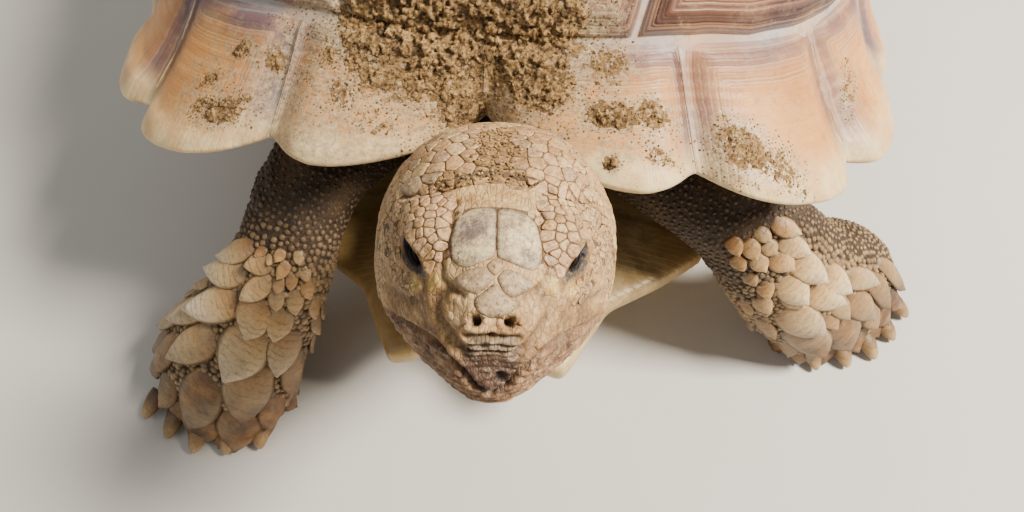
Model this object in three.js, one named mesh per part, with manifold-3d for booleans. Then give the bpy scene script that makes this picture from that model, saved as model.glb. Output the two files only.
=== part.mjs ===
// A grown spurred tortoise, Centrochelys sulcata, in mid step with its head raised.
// Units are millimetres, +Z is up, the animal faces -Y and its left side is +X.
// Each body part is one closed faceted solid. Scutes, scales, spurs and claws are
// raised on the part that they grow from, and neighbours keep a thin gap.

import * as THREE from "three";
import { mergeVertices } from "three/addons/utils/BufferGeometryUtils.js";
import Module from "manifold-3d";

const wasm = await Module();
wasm.setup();

// ---------------------------------------------------------------- driving sizes

const GAP = 0.4; // clearance between neighbouring solids
const { PI, sin, cos, abs, min, max, hypot, sqrt, pow } = Math;

const SHELL = {
  frontLength: 226, // of the rim before its lobes, from the middle
  rearLength: 238,
  halfWidth: 172,
  squareness: 3, // superellipse exponent of the rim from above
  rearBroadening: 0.05,
  topZ: 268,
  thickness: 12,
  frontExponent: 2.6, // of the arch where it runs out to the front and rear rim
  sideExponent: 2.8,
  sidePower: 0.55,
  marginalStart: 0.8, // where the marginal scutes begin, as a share of the arc to the rim
};

// Rim height above the ground, by share of the way round from the front to the rear midline.
const RIM_HEIGHT = [
  [0, 147], [0.12, 143], [0.22, 120], [0.32, 103], [0.43, 89],
  [0.54, 84], [0.66, 86], [0.77, 95], [0.88, 97], [1, 88],
];
// How far the rim lifts, spreads and how deep its lobes are, along the same way.
const FLARE_LIFT = [[0, 10], [0.25, 11], [0.42, 1], [0.66, 1], [0.85, 8], [1, 1]];
const FLARE_OUT = [
  [0, 0], [0.11, 3], [0.17, 13], [0.22, 20], [0.3, 15], [0.42, 4], [0.66, 4], [0.84, 9], [1, 5],
];
const LOBE_DEPTH = [[0, 9], [0.17, 13], [0.3, 11], [0.42, 4], [0.64, 4], [0.84, 8], [1, 6]];
const CERVICAL_NOTCH = { depth: 24, reach: 0.09 }; // over the neck, as a depth and a share of the way round

// Widths along the rim of marginals 1 to 11 and of half the supracaudal.
const MARGINAL_WIDTHS = [84, 74, 62, 56, 54, 54, 54, 54, 56, 58, 58, 44];

// Vertebral seams from front to rear, half widths at the seams and at the side corners,
// as shares of the disc that the shell unrolls to.
const VERTEBRAL = {
  seams: [-0.8, -0.47, -0.155, 0.16, 0.48, 0.8],
  seamHalfWidths: [0.225, 0.18, 0.19, 0.185, 0.15, 0.23],
  cornerHalfWidths: [0.25, 0.28, 0.29, 0.27, 0.26],
};
// Where each seam between two costals reaches the marginals, as a share of the way round.
const COSTAL_SEAM_ENDS = [0.405, 0.575, 0.735];

const SCUTE = { seam: 1.6, sunk: 4.5, bevel: 7, edgeRise: 1.0, shoulderRise: 3.2, crownRise: 6.5 };

const PLASTRON = { bottomZ: 46, thickness: 13, scuteRise: 2.2, bridgeFront: -118, bridgeRear: 92 };

const HEAD = {
  centre: [14, -289, 196],
  scale: 0.94, // of the sizes below, which give a head 80 mm wide
  pitch: 18, // degrees, snout up
  yaw: 7, // degrees, towards the animal's left
  eyeRadius: 8,
  eyeCentre: [18.5, -16, 13.5],
  eyeLook: [0.76, -0.6, 0.25],
  eyeSlant: [0.58, 0.72, 0.37], // from the front to the rear corner of the lids
};
// Height of the line of the mouth over its distance from the centre, from the tip to the corner.
const MOUTH_LINE = [[-49, -7], [-39, -5.5], [-31, -7.5], [-24, -11], [-18, -14]];
// Half width, top, bottom and height of the widest place of the head, by distance ahead of its centre.
const HEAD_WIDTH = [
  [-46, 25], [-36, 32.5], [-22, 38], [-6, 39.5], [8, 37.5], [20, 32], [30, 25], [38, 18],
  [43.5, 12], [46.5, 6.5],
];
const HEAD_TOP = [
  [-46, 18], [-34, 25.5], [-20, 30.5], [-6, 32.5], [5, 32], [18, 29.5], [30, 24.5], [38, 20.5],
  [43.5, 15.5], [46.5, 7],
];
const HEAD_BOTTOM = [
  [-46, -22], [-34, -28], [-20, -31.5], [-6, -33], [8, -33], [20, -30.5], [30, -27.5], [38, -23.5],
  [43.5, -18.5], [46.5, -11],
];
const HEAD_WIDEST = [[-46, -2], [-10, -4], [20, -6], [46.5, -3]];
const HEAD_SQUARENESS = 2.2;

// Stations of the limbs, neck and tail: X, Y, Z, half width across the broad face and half depth.
const FORELEGS = {
  right: {
    stations: [
      [-54, -150, 98, 27, 25], [-73, -184, 102, 24, 23], [-82, -206, 98, 22, 22], [-90, -226, 80, 23, 21],
      [-104, -242, 54, 28, 22], [-123, -258, 24, 35, 24], [-133, -265, -6, 35, 26],
    ],
    facing: [-0.25, -0.75, 0.62],
    toes: [-0.15, -0.99, 0],
  },
  left: {
    stations: [
      [54, -150, 98, 27, 25], [88, -180, 99, 25, 23], [110, -192, 92, 25, 22], [128, -196, 75, 28, 22],
      [147, -196, 51, 32, 23], [171, -187, 24, 38, 25], [183, -182, -6, 37, 27],
    ],
    facing: [0.35, -0.75, 0.55],
    toes: [0.58, -0.81, 0],
  },
};
const ELBOW = 0.3; // share of the foreleg's length where the upper arm ends
const HINDLEGS = {
  right: {
    stations: [
      [-70, 138, 102, 33, 32], [-104, 170, 86, 33, 32], [-120, 194, 58, 30, 31], [-124, 204, 30, 30, 32],
      [-125, 206, -6, 34, 37],
    ],
    toes: [-0.25, -0.97, 0],
  },
  left: {
    stations: [
      [72, 130, 102, 33, 32], [108, 140, 86, 33, 32], [126, 138, 58, 30, 31], [130, 132, 30, 30, 32],
      [131, 128, -6, 34, 37],
    ],
    toes: [0.3, -0.95, 0],
  },
};
const NECK = [
  [0, -150, 92, 38, 32], [2, -190, 96, 38, 31], [6, -223, 108, 36, 31], [9, -245, 130, 33, 29],
  [12, -259, 156, 29, 25], [14, -267, 180, 24, 19],
];
const TAIL = [
  [4, 172, 88, 17, 15], [8, 206, 80, 15, 13], [16, 236, 66, 11, 10], [26, 254, 52, 6.5, 6],
  [31, 261, 44, 2.5, 2.5],
];

// ---------------------------------------------------------------- small helpers

const V = (x, y, z) => new THREE.Vector3(x, y, z);
const mix = (a, b, t) => a + (b - a) * t;
const clamp = (x, a, b) => min(b, max(a, x));
const smooth = (a, b, x) => {
  const t = clamp((x - a) / (b - a), 0, 1);
  return t * t * (3 - 2 * t);
};
const degrees = (a) => (a * PI) / 180;

// Smooth curve through rows of [x, value], flat beyond its ends.
function curve(rows, x) {
  const last = rows.length - 1;
  if (x <= rows[0][0]) return rows[0][1];
  if (x >= rows[last][0]) return rows[last][1];
  let i = 0;
  while (x > rows[i + 1][0]) i += 1;
  const slope = (j) => {
    const a = rows[max(j - 1, 0)];
    const b = rows[min(j + 1, last)];
    return (b[1] - a[1]) / (b[0] - a[0]);
  };
  const step = rows[i + 1][0] - rows[i][0];
  const t = (x - rows[i][0]) / step;
  const a = rows[i][1];
  const b = rows[i + 1][1];
  const rise = slope(i) * step;
  const run = slope(i + 1) * step;
  return (
    a * (2 * t * t * t - 3 * t * t + 1) + rise * (t * t * t - 2 * t * t + t) +
    b * (3 * t * t - 2 * t * t * t) + run * (t * t * t - t * t)
  );
}

// Repeatable random numbers from 0 to 1.
function seeded(seed) {
  let state = seed;
  return () => {
    state = (state * 1664525 + 1013904223) % 4294967296;
    return state / 4294967296;
  };
}

function solidFrom(points, triangles) {
  return new wasm.Manifold(
    new wasm.Mesh({
      numProp: 3,
      vertProperties: new Float32Array(points.flatMap((p) => [p.x, p.y, p.z])),
      triVerts: new Uint32Array(triangles.flat()),
    }),
  );
}

function solidOfGeometry(geometry) {
  const bare = geometry.clone();
  bare.deleteAttribute("normal");
  bare.deleteAttribute("uv");
  const merged = mergeVertices(bare, 1e-4);
  return new wasm.Manifold(
    new wasm.Mesh({
      numProp: 3,
      vertProperties: new Float32Array(merged.attributes.position.array),
      triVerts: new Uint32Array(merged.index.array),
    }),
  );
}

// A body of closed rings joined end to end. A ring of one point closes the body to a tip.
function loft(rings) {
  const points = [];
  const starts = rings.map((ring) => {
    points.push(...ring);
    return points.length - ring.length;
  });
  const triangles = [];
  for (let r = 0; r + 1 < rings.length; r += 1) {
    const a = rings[r].length;
    const b = rings[r + 1].length;
    const count = max(a, b);
    for (let i = 0; i < count; i += 1) {
      const j = (i + 1) % count;
      const a0 = starts[r] + (i % a);
      const a1 = starts[r] + (j % a);
      const b0 = starts[r + 1] + (i % b);
      const b1 = starts[r + 1] + (j % b);
      if (a > 1) triangles.push([a0, a1, b0]);
      if (b > 1) triangles.push([b0, a1, b1]);
    }
  }
  const cap = (start, count, flip) => {
    if (count === 1) return;
    const middle = new THREE.Vector3();
    for (let i = 0; i < count; i += 1) middle.addScaledVector(points[start + i], 1 / count);
    points.push(middle);
    for (let i = 0; i < count; i += 1) {
      const j = (i + 1) % count;
      const face = [points.length - 1, start + j, start + i];
      triangles.push(flip ? face.reverse() : face);
    }
  };
  const end = rings.length - 1;
  cap(starts[0], rings[0].length, false);
  cap(starts[end], rings[end].length, true);
  return outward(points, triangles);
}

// The solid with its faces pointing out, whichever way round it was listed.
function outward(points, triangles) {
  let volume = 0;
  triangles.forEach(([a, b, c]) => {
    volume += points[a].dot(V(0, 0, 0).crossVectors(points[b], points[c]));
  });
  return solidFrom(points, volume < 0 ? triangles.map((t) => [...t].reverse()) : triangles);
}

const joined = (solids) => wasm.Manifold.union(solids);
const largest = (solid) =>
  solid.decompose().reduce((best, one) => (one.volume() > best.volume() ? one : best));

function ellipsoid(centre, radii, segments = 14) {
  const ball = new THREE.SphereGeometry(1, segments, max(6, segments - 4));
  ball.scale(...radii);
  ball.translate(...centre);
  return solidOfGeometry(ball);
}

// ---------------------------------------------------------------- carapace surface

// The rim from above, walked by equal steps of length from the front to the rear midline.
const RIM_WALK = (() => {
  const rows = [];
  let length = 0;
  const steps = 600;
  let before = null;
  for (let i = 0; i <= steps; i += 1) {
    const a = (PI * i) / steps;
    const power = 2 / SHELL.squareness;
    const reach = cos(a) > 0 ? -SHELL.frontLength : SHELL.rearLength;
    const y = reach * pow(abs(cos(a)), power);
    const broad = 1 + (SHELL.rearBroadening * y) / SHELL.rearLength;
    const x = SHELL.halfWidth * pow(max(sin(a), 0), power) * broad;
    if (before) length += hypot(x - before[0], y - before[1]);
    rows.push([length, x, y]);
    before = [x, y];
  }
  return rows.map(([l, x, y]) => [l / length, x, y]);
})();

function rimPlan(way) {
  const s = clamp(abs(way), 0, 1);
  let low = 0;
  let high = RIM_WALK.length - 1;
  while (high - low > 1) {
    const middle = (low + high) >> 1;
    if (RIM_WALK[middle][0] <= s) low = middle;
    else high = middle;
  }
  const [s0, x0, y0] = RIM_WALK[low];
  const [s1, x1, y1] = RIM_WALK[high];
  const t = (s - s0) / (s1 - s0);
  return [mix(x0, x1, t) * (way < 0 ? -1 : 1), mix(y0, y1, t)];
}

const MARGINAL_SEAMS = (() => {
  const total = MARGINAL_WIDTHS.reduce((a, b) => a + b);
  let reached = 0;
  return [0, ...MARGINAL_WIDTHS.map((w) => (reached += w) / total)];
})();

// Where a point of the rim lies in its marginal, from -1 to 1. The last one spans the midline.
function placeInMarginal(way) {
  const s = clamp(abs(way), 0, 1);
  const last = MARGINAL_SEAMS.length - 2;
  let i = 0;
  while (i < last && s > MARGINAL_SEAMS[i + 1]) i += 1;
  const start = MARGINAL_SEAMS[i];
  const end = i === last ? 2 - start : MARGINAL_SEAMS[i + 1];
  return (2 * (s - start)) / (end - start) - 1;
}

// Arch height as a share of its rise, at a share r of the way out to the rim.
function archShare(way, r) {
  const sideness = pow(clamp(abs(rimPlan(way)[0]) / SHELL.halfWidth, 0, 1), 3);
  const end = 1 - pow(r, SHELL.frontExponent);
  const side = pow(max(1 - pow(r, SHELL.sideExponent), 0), SHELL.sidePower);
  return mix(end, side, sideness);
}

const meridians = new Map();
function meridian(way) {
  const key = abs(way).toFixed(4);
  if (!meridians.has(key)) {
    const reach = hypot(...rimPlan(way));
    const rise = SHELL.topZ - curve(RIM_HEIGHT, abs(way));
    const rows = [[0, 0]];
    let length = 0;
    const steps = 60;
    for (let i = 1; i <= steps; i += 1) {
      const r0 = (i - 1) / steps;
      const r1 = i / steps;
      length += hypot(reach / steps, rise * (archShare(way, r1) - archShare(way, r0)));
      rows.push([length, r1]);
    }
    meridians.set(key, rows.map(([l, r]) => [l / length, r]));
  }
  return meridians.get(key);
}

// A point of the shell: way runs round the rim from -1 to 1, rho from the top (0) to the rim (1).
function shellPoint(way, rho, lobed = true) {
  const wrapped = way > 1 ? way - 2 : way < -1 ? way + 2 : way;
  const s = abs(wrapped);
  const rows = meridian(wrapped);
  const i = min(floorIndex(rows, clamp(rho, 0, 1)), rows.length - 2);
  const t = (clamp(rho, 0, 1) - rows[i][0]) / (rows[i + 1][0] - rows[i][0]);
  const r = mix(rows[i][1], rows[i + 1][1], t);
  const [x, y] = rimPlan(wrapped);
  const rim = curve(RIM_HEIGHT, s);
  const z = rim + (SHELL.topZ - rim) * archShare(wrapped, r);
  const edge = pow(clamp((rho - SHELL.marginalStart) / (1 - SHELL.marginalStart), 0, 1.2), 2);
  const place = placeInMarginal(wrapped);
  const lobe = curve(LOBE_DEPTH, s) * (1 - pow(abs(place), 2.6));
  const notch = CERVICAL_NOTCH.depth * pow(clamp(1 - s / CERVICAL_NOTCH.reach, 0, 1), 1.3);
  const out = edge * (curve(FLARE_OUT, s) + (lobed ? lobe - notch : 0));
  const reach = hypot(x, y);
  return V(
    x * r + (x / reach) * out,
    y * r + (y / reach) * out,
    z + edge * curve(FLARE_LIFT, s),
  );
}

function floorIndex(rows, value) {
  let low = 0;
  let high = rows.length - 1;
  while (high - low > 1) {
    const middle = (low + high) >> 1;
    if (rows[middle][0] <= value) low = middle;
    else high = middle;
  }
  return low;
}

function shellNormal(way, rho) {
  if (rho < 0.02) return V(0, 0, 1);
  const e = 0.004;
  const r = min(rho, 1 - e);
  const out = shellPoint(way, r + e, false).sub(shellPoint(way, r - e, false));
  const round = shellPoint(way + e, r, false).sub(shellPoint(way - e, r, false));
  return V(0, 0, 0).crossVectors(out, round).normalize();
}

const shellOffset = (way, rho, offset) =>
  shellPoint(way, rho).addScaledVector(shellNormal(way, rho), offset);

// Ways of the grid lines that run from the top to the rim: the marginal seams, and where the
// rim bends more than 3 mm within a marginal, also its middle.
const SHELL_WAYS = (() => {
  const half = [];
  MARGINAL_SEAMS.slice(1).forEach((end, i) => {
    const start = MARGINAL_SEAMS[i];
    const [a, middle, b] = [start, (start + end) / 2, end].map(rimPlan);
    const bend = hypot(middle[0] - (a[0] + b[0]) / 2, middle[1] - (a[1] + b[1]) / 2);
    if (bend > 3) half.push((start + end) / 2);
    if (end < 1) half.push(end);
  });
  half.sort((a, b) => a - b);
  return [0, ...half, 1, ...half.map((s) => -s).reverse()];
})();

const OUTER_RHOS = [0.2, 0.4, 0.6, 0.8, 0.9];
const INNER_RHOS = [0.85, 0.6, 0.3];
const shellRing = (rho, offset) => SHELL_WAYS.map((way) => shellOffset(way, rho, offset));

// The wall between two offsets from the shell's surface, out to the edge share.
function shellBody(outer, inner, edge = 1) {
  return loft([
    [shellOffset(0, 0, outer)],
    ...[...OUTER_RHOS, edge].map((rho) => shellRing(rho, outer)),
    ...[edge, ...INNER_RHOS].map((rho) => shellRing(rho, inner)),
    [shellOffset(0, 0, inner)],
  ]);
}

// The space that the carapace takes, grown so that what is cut by it stays clear.
const shellClearance = () => shellBody(SCUTE.crownRise, -SHELL.thickness - GAP, 1.03);

// ---------------------------------------------------------------- scutes of the carapace

const disc = ([x, y]) => {
  const rho = hypot(x, y);
  return [Math.atan2(x, -y) / PI, rho];
};

// Corners of the vertebral and costal scutes on the disc that the shell unrolls to.
function upperScutes() {
  const { seams, seamHalfWidths, cornerHalfWidths } = VERTEBRAL;
  const edge = SHELL.marginalStart;
  const onEdge = (way) => [edge * sin(PI * way), -edge * cos(PI * way)];
  const scutes = [];
  const corners = (i) => (seams[i] + seams[i + 1]) / 2;
  for (let i = 0; i < 5; i += 1) {
    const w0 = seamHalfWidths[i];
    const w1 = seamHalfWidths[i + 1];
    const start = i === 0 ? -sqrt(edge * edge - w0 * w0) : seams[i];
    const stop = i === 4 ? sqrt(edge * edge - w1 * w1) : seams[i + 1];
    const y = i === 0 ? -0.62 : i === 4 ? 0.64 : corners(i);
    const c = cornerHalfWidths[i];
    const front = i === 0 ? [[0, -edge]] : [];
    const rear = i === 4 ? [[0, edge]] : [];
    scutes.push([
      [-w0, start], ...front, [w0, start], [c, y], [w1, stop], ...rear, [-w1, stop], [-c, y],
    ]);
  }
  const apex = (i) => [cornerHalfWidths[i], i === 0 ? -0.62 : i === 4 ? 0.64 : corners(i)];
  const seamEnd = (i) => [seamHalfWidths[i], seams[i]];
  const startAngle = Math.asin(seamHalfWidths[0] / edge) / PI;
  const stopAngle = 1 - Math.asin(seamHalfWidths[5] / edge) / PI;
  const ends = [startAngle, ...COSTAL_SEAM_ENDS, stopAngle];
  for (let i = 0; i < 4; i += 1) {
    const inner =
      i === 0 ? [apex(1), seamEnd(1), apex(0)]
      : i === 3 ? [apex(4), seamEnd(4), apex(3)]
      : [apex(i + 1), seamEnd(i + 1), apex(i)];
    const rim = [0, 0.25, 0.5, 0.75, 1].map((t) => onEdge(mix(ends[i], ends[i + 1], t)));
    const outline = [...rim, ...inner];
    scutes.push(outline);
    scutes.push(outline.map(([x, y]) => [-x, y]).reverse());
  }
  return scutes;
}

const centroid = (outline) => {
  const sum = outline.reduce((a, p) => [a[0] + p[0], a[1] + p[1]], [0, 0]);
  return [sum[0] / outline.length, sum[1] / outline.length];
};

// Splits the edges of an outline so that no edge is longer than a limit.
function refine(outline, limit) {
  return outline.flatMap((p, i) => {
    const q = outline[(i + 1) % outline.length];
    const parts = max(1, Math.ceil(hypot(q[0] - p[0], q[1] - p[1]) / limit));
    return Array.from({ length: parts }, (_, k) => [
      mix(p[0], q[0], k / parts), mix(p[1], q[1], k / parts),
    ]);
  });
}

// A raised plate on a surface: place(point, height) maps a plan point to space.
function raisedPlate(outline, place, span, sizes) {
  const middle = centroid(outline);
  const shrink = (distance) =>
    outline.map(([x, y]) => {
      const t = 1 - distance / (span * max(hypot(x - middle[0], y - middle[1]), 1e-6));
      return [mix(middle[0], x, t), mix(middle[1], y, t)];
    });
  const towards = (t) => outline.map(([x, y]) => [mix(middle[0], x, t), mix(middle[1], y, t)]);
  const at = (ring, height) => ring.map((p) => place(p, height));
  const edge = shrink(sizes.seam);
  const domed = sizes.crownRise > sizes.shoulderRise;
  return loft([
    [place(middle, -sizes.sunk)],
    at(edge, -sizes.sunk),
    at(edge, sizes.edgeRise),
    at(shrink(sizes.seam + sizes.bevel), sizes.shoulderRise),
    ...(domed ? [at(towards(0.42), mix(sizes.shoulderRise, sizes.crownRise, 0.7))] : []),
    [place(middle, sizes.crownRise)],
  ]);
}

function marginalBlock(from, to) {
  const sides = [-1, 0, 1];
  const rhos = [SHELL.marginalStart + 0.008, 0.9, 1];
  const rim = rhos.length - 1;
  const trim = 0.0025;
  const way = (c) => mix(from + trim, to - trim, (c + 1) / 2);
  const rise = (c, k) => 2.6 - 1.9 * pow(abs(c), 4) - (k === 0 ? 1.6 : 0);
  const top = (k) => sides.map((c) => shellOffset(way(c), rhos[k], rise(c, k) - (k === rim ? 1.2 : 0)));
  const under = (k) => sides.map((c) => shellOffset(way(c), rhos[k], k === rim ? -4.2 : -6.5));
  const rings = rhos.map((_, k) => [...top(k), ...under(k).reverse()]);
  return loft(rings);
}

function carapace() {
  const span = 290; // millimetres of arc from the top to the rim
  const place = (p, height) => {
    const [way, rho] = disc(p);
    return shellOffset(way, rho, height);
  };
  const plates = upperScutes().map((outline) =>
    raisedPlate(refine(outline, 0.21), place, span, SCUTE),
  );
  const blocks = [];
  for (let i = 0; i + 2 < MARGINAL_SEAMS.length; i += 1) {
    const [from, to] = [MARGINAL_SEAMS[i], MARGINAL_SEAMS[i + 1]];
    blocks.push(marginalBlock(from, to), marginalBlock(-to, -from));
  }
  const last = MARGINAL_SEAMS[MARGINAL_SEAMS.length - 2];
  blocks.push(marginalBlock(last, 2 - last));
  return largest(joined([shellBody(-1.2, -SHELL.thickness), ...plates, ...blocks]));
}

// ---------------------------------------------------------------- torso

// The room under the dome, down to a floor that lies on the plastron.
function torso(grow = 0) {
  const inset = SHELL.thickness + 1.5 * GAP - grow;
  const dome = loft([
    shellRing(1, -inset).map((p) => p.setZ(20)),
    ...[1, ...INNER_RHOS].map((rho) => shellRing(rho, -inset)),
    [shellOffset(0, 0, -inset)],
  ]);
  // Heights with half width and half length of the flesh, a superellipse from above.
  const floorZ = PLASTRON.bottomZ + PLASTRON.thickness + GAP - grow;
  const levels = [[floorZ, 94, 160], [82, 112, 172], [112, 140, 178], [200, 156, 172], [290, 150, 150]];
  const steps = 32;
  const outline = ([z, halfWidth, halfLength]) =>
    Array.from({ length: steps }, (_, i) => {
      const a = (2 * PI * i) / steps;
      const [c, s] = [cos(a), sin(a)].map((v) => Math.sign(v) * pow(abs(v), 2 / 3));
      return V((halfWidth + grow) * c, (halfLength + grow) * s, z);
    });
  return largest(dome.intersect(loft(levels.map(outline))));
}

// ---------------------------------------------------------------- plastron

// The left half of the outline from the front notch to the rear notch.
const PLASTRON_HALF = [
  [0, -232], [16, -246], [29, -261], [40, -263], [48, -248], [59, -226], [83, -210], [103, -193], [107, -178],
  [104, -150], [108, -110], [108, 40], [104, 84], [92, 108], [84, 136], [76, 166], [58, 192],
  [34, 198], [0, 182],
];
// Seams from front to rear: gular, humeral, pectoral, abdominal, femoral and anal scutes.
const PLASTRON_SEAMS = [-263, -224, -150, -112, 40, 128, 198];

function plateHalfWidth(y) {
  let wide = 0;
  for (let i = 0; i + 1 < PLASTRON_HALF.length; i += 1) {
    const [[x0, y0], [x1, y1]] = [PLASTRON_HALF[i], PLASTRON_HALF[i + 1]];
    const level = y0 !== y1 && y >= min(y0, y1) && y <= max(y0, y1);
    if (level) wide = max(wide, mix(x0, x1, (y - y0) / (y1 - y0)));
  }
  return wide;
}

function slab(outline, bottom, top) {
  const shape = new THREE.Shape(outline.map(([x, y]) => new THREE.Vector2(x, y)));
  const geometry = new THREE.ExtrudeGeometry(shape, { depth: top - bottom, bevelEnabled: false });
  return solidOfGeometry(geometry.translate(0, 0, bottom));
}

// One side's scutes, from just off the midline to the edge, raised on the underside.
function plastronScutes(side) {
  const { bottomZ, scuteRise } = PLASTRON;
  const sizes = { seam: 0, sunk: 2, bevel: 4, edgeRise: 0.4, shoulderRise: scuteRise, crownRise: scuteRise };
  return PLASTRON_SEAMS.slice(1).map((seam, i) => {
    const [from, to] = [PLASTRON_SEAMS[i] + 1.4, seam - 1.4];
    const outer = [0, 0.33, 0.67, 1].map((t) => mix(from, to, t))
      .map((y) => [plateHalfWidth(y) - 3, y])
      .filter(([x]) => x > 4);
    const inner = [to, from].map((y) => [1.6, clamp(y, -229, 179)]);
    return raisedPlate([...outer, ...inner], ([x, y], h) => V(side * x, y, bottomZ - h), 1, sizes);
  });
}

// The bridge rises from the edge of the plastron to the wall of the carapace.
function bridge(side) {
  const { bottomZ, thickness, bridgeFront, bridgeRear } = PLASTRON;
  const section = [
    [92, 0], [120, 4], [146, 18], [159, 36], [157, 50], [140, 30], [118, 15], [92, thickness],
  ];
  return loft([0, 0.1, 0.5, 0.9, 1].map((t) => {
    const pinch = t === 0 || t === 1 ? 0.62 : 1;
    const y = mix(bridgeFront, bridgeRear, t);
    return section.map(([x, z]) => V(side * (92 + (x - 92) * pinch), y, bottomZ + z));
  }));
}

const plastronOutline = (grow) => {
  const half = PLASTRON_HALF.map(([x, y]) => [x === 0 ? 0 : x + grow, y + grow * Math.sign(y)]);
  return [...half, ...half.slice(1, -1).reverse().map(([x, y]) => [-x, y])];
};

function plastronClearance() {
  const { bottomZ, thickness, scuteRise } = PLASTRON;
  return slab(plastronOutline(3 * GAP), bottomZ - scuteRise - GAP, bottomZ + thickness + GAP);
}

function plastron() {
  const base = slab(plastronOutline(0), PLASTRON.bottomZ, PLASTRON.bottomZ + PLASTRON.thickness);
  const pieces = [1, -1].flatMap((side) => [...plastronScutes(side), bridge(side)]);
  return largest(joined([base, ...pieces]).subtract(shellClearance()));
}

// ---------------------------------------------------------------- head

const HEAD_PLACE = new THREE.Matrix4()
  .makeTranslation(...HEAD.centre)
  .multiply(new THREE.Matrix4().makeRotationZ(degrees(HEAD.yaw)))
  .multiply(new THREE.Matrix4().makeRotationX(-degrees(HEAD.pitch)))
  .scale(V(HEAD.scale, HEAD.scale, HEAD.scale));

// A point of the head in its own frame. The angle runs from its left side over the top.
function headPoint(forward, angle, grow = 0) {
  const power = 2 / HEAD_SQUARENESS;
  const [c, s] = [cos(angle), sin(angle)];
  const middle = curve(HEAD_WIDEST, forward);
  const reach = s > 0 ? curve(HEAD_TOP, forward) - middle : middle - curve(HEAD_BOTTOM, forward);
  return V(
    (curve(HEAD_WIDTH, forward) + grow) * Math.sign(c) * pow(abs(c), power),
    -forward,
    middle + (reach + grow) * Math.sign(s) * pow(abs(s), power),
  );
}

function headNormal(forward, angle) {
  const e = 0.02;
  const along = headPoint(forward + 0.5, angle).sub(headPoint(forward - 0.5, angle));
  const round = headPoint(forward, angle + e).sub(headPoint(forward, angle - e));
  const n = V(0, 0, 0).crossVectors(along, round).normalize();
  return n.dot(V(cos(angle), 0, sin(angle))) < 0 ? n.negate() : n;
}

function headBody(grow = 0) {
  const around = 24;
  const stations = [-45, -38, -26, -12, 2, 14, 23, 29, 34, 38.5, 42.5, 45.5];
  const rings = stations.map((f) =>
    Array.from({ length: around }, (_, i) => headPoint(f, (2 * PI * i) / around, grow)));
  return loft([[V(0, 48 + grow, -3)], ...rings, [V(0, -47 - grow, -3)]]);
}

const cheeks = (grow = 0) =>
  [1, -1].map((side) => ellipsoid([side * 23.5, 8, -10], [16 + grow, 24 + grow, 18 + grow], 12));

// Plates of the head as forward distance, angle, length, width and rise.
function headPlates() {
  const random = seeded(11);
  const top = PI / 2;
  const plates = [[4, top, 10, 20, 1]];
  for (const side of [1, -1]) {
    plates.push([24, top - side * 0.215, 18, 14.5, 1.8]); // prefrontal
    plates.push([36.5, top - side * 0.27, 8.5, 9, 1.3]); // behind the nostril
  }
  for (let row = 0; row < 3; row += 1) {
    const count = 7 - (row % 2);
    for (let i = 0; i < count; i += 1) {
      const angle = top + ((i - (count - 1) / 2) * 2.1) / 6;
      plates.push([-8 - row * 9.5 + 2 * random(), angle, 9, 8.4 + 1.6 * random(), 1.1]);
    }
  }
  return plates.map(headPlate);
}

function headPlate([forward, angle, length, width, rise]) {
  const centre = headPoint(forward, angle);
  const normal = headNormal(forward, angle);
  const ahead = V(0, -1, 0).addScaledVector(normal, normal.y).normalize();
  const aside = V(0, 0, 0).crossVectors(ahead, normal);
  const corners = [[0.5, 0.26], [0.5, -0.26], [0, -0.5], [-0.5, -0.26], [-0.5, 0.26], [0, 0.5]];
  const ring = (share, height) =>
    corners.map(([a, b]) => {
      const sag = (b * b * width * width * share) / 70;
      return centre.clone().addScaledVector(ahead, a * length * share)
        .addScaledVector(aside, b * width * share).addScaledVector(normal, height - sag);
    });
  return loft([
    [centre.clone().addScaledVector(normal, -3)],
    ring(1, -0.4),
    ring(0.8, rise),
    [centre.clone().addScaledVector(normal, rise * 1.1)],
  ]);
}

// The eye's centre, line of sight, and directions along and across the lids.
function eyeFrame(side) {
  const mirror = ([x, y, z]) => V(side * x, y, z);
  const look = mirror(HEAD.eyeLook).normalize();
  const slant = mirror(HEAD.eyeSlant);
  const along = slant.addScaledVector(look, -slant.dot(look)).normalize();
  return { centre: mirror(HEAD.eyeCentre), look, along, across: V(0, 0, 0).crossVectors(look, along) };
}

function eyeball(side, grow = 0) {
  const radius = HEAD.eyeRadius + grow;
  return ellipsoid(eyeFrame(side).centre.toArray(), [radius, radius, radius], 14);
}

function lidBulge(side) {
  const { centre, look, along, across } = eyeFrame(side);
  const bulge = new THREE.SphereGeometry(1, 12, 8);
  bulge.applyMatrix4(new THREE.Matrix4().makeBasis(look, along, across).scale(V(11, 14, 12)));
  bulge.translate(...centre);
  return solidOfGeometry(bulge);
}

// The almond between the lids, as a wedge that widens along the line of sight.
function lidOpening(side) {
  const { centre, look, along, across } = eyeFrame(side);
  const [halfLength, halfHeight] = [7.4, 3];
  const upper = [-1, -0.55, 0, 0.55, 1].map((t) => [t * halfLength, halfHeight * (1 - t * t)]);
  const lower = upper.slice(1, -1).reverse().map(([a, b]) => [a, -b * 0.8]);
  const at = (depth, grow) =>
    [...upper, ...lower].map(([a, b]) =>
      centre.clone().addScaledVector(look, depth)
        .addScaledVector(along, a * grow).addScaledVector(across, b * grow));
  return loft([at(HEAD.eyeRadius * 0.55, 0.8), at(HEAD.eyeRadius + 12, 1.6)]);
}

function nostril(side) {
  const pit = new THREE.ConeGeometry(2.8, 9, 8);
  pit.rotateX(PI / 2 + 0.35);
  pit.rotateZ(side * 0.4);
  pit.translate(side * 5.4, -42.5, 13);
  return solidOfGeometry(pit);
}

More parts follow.
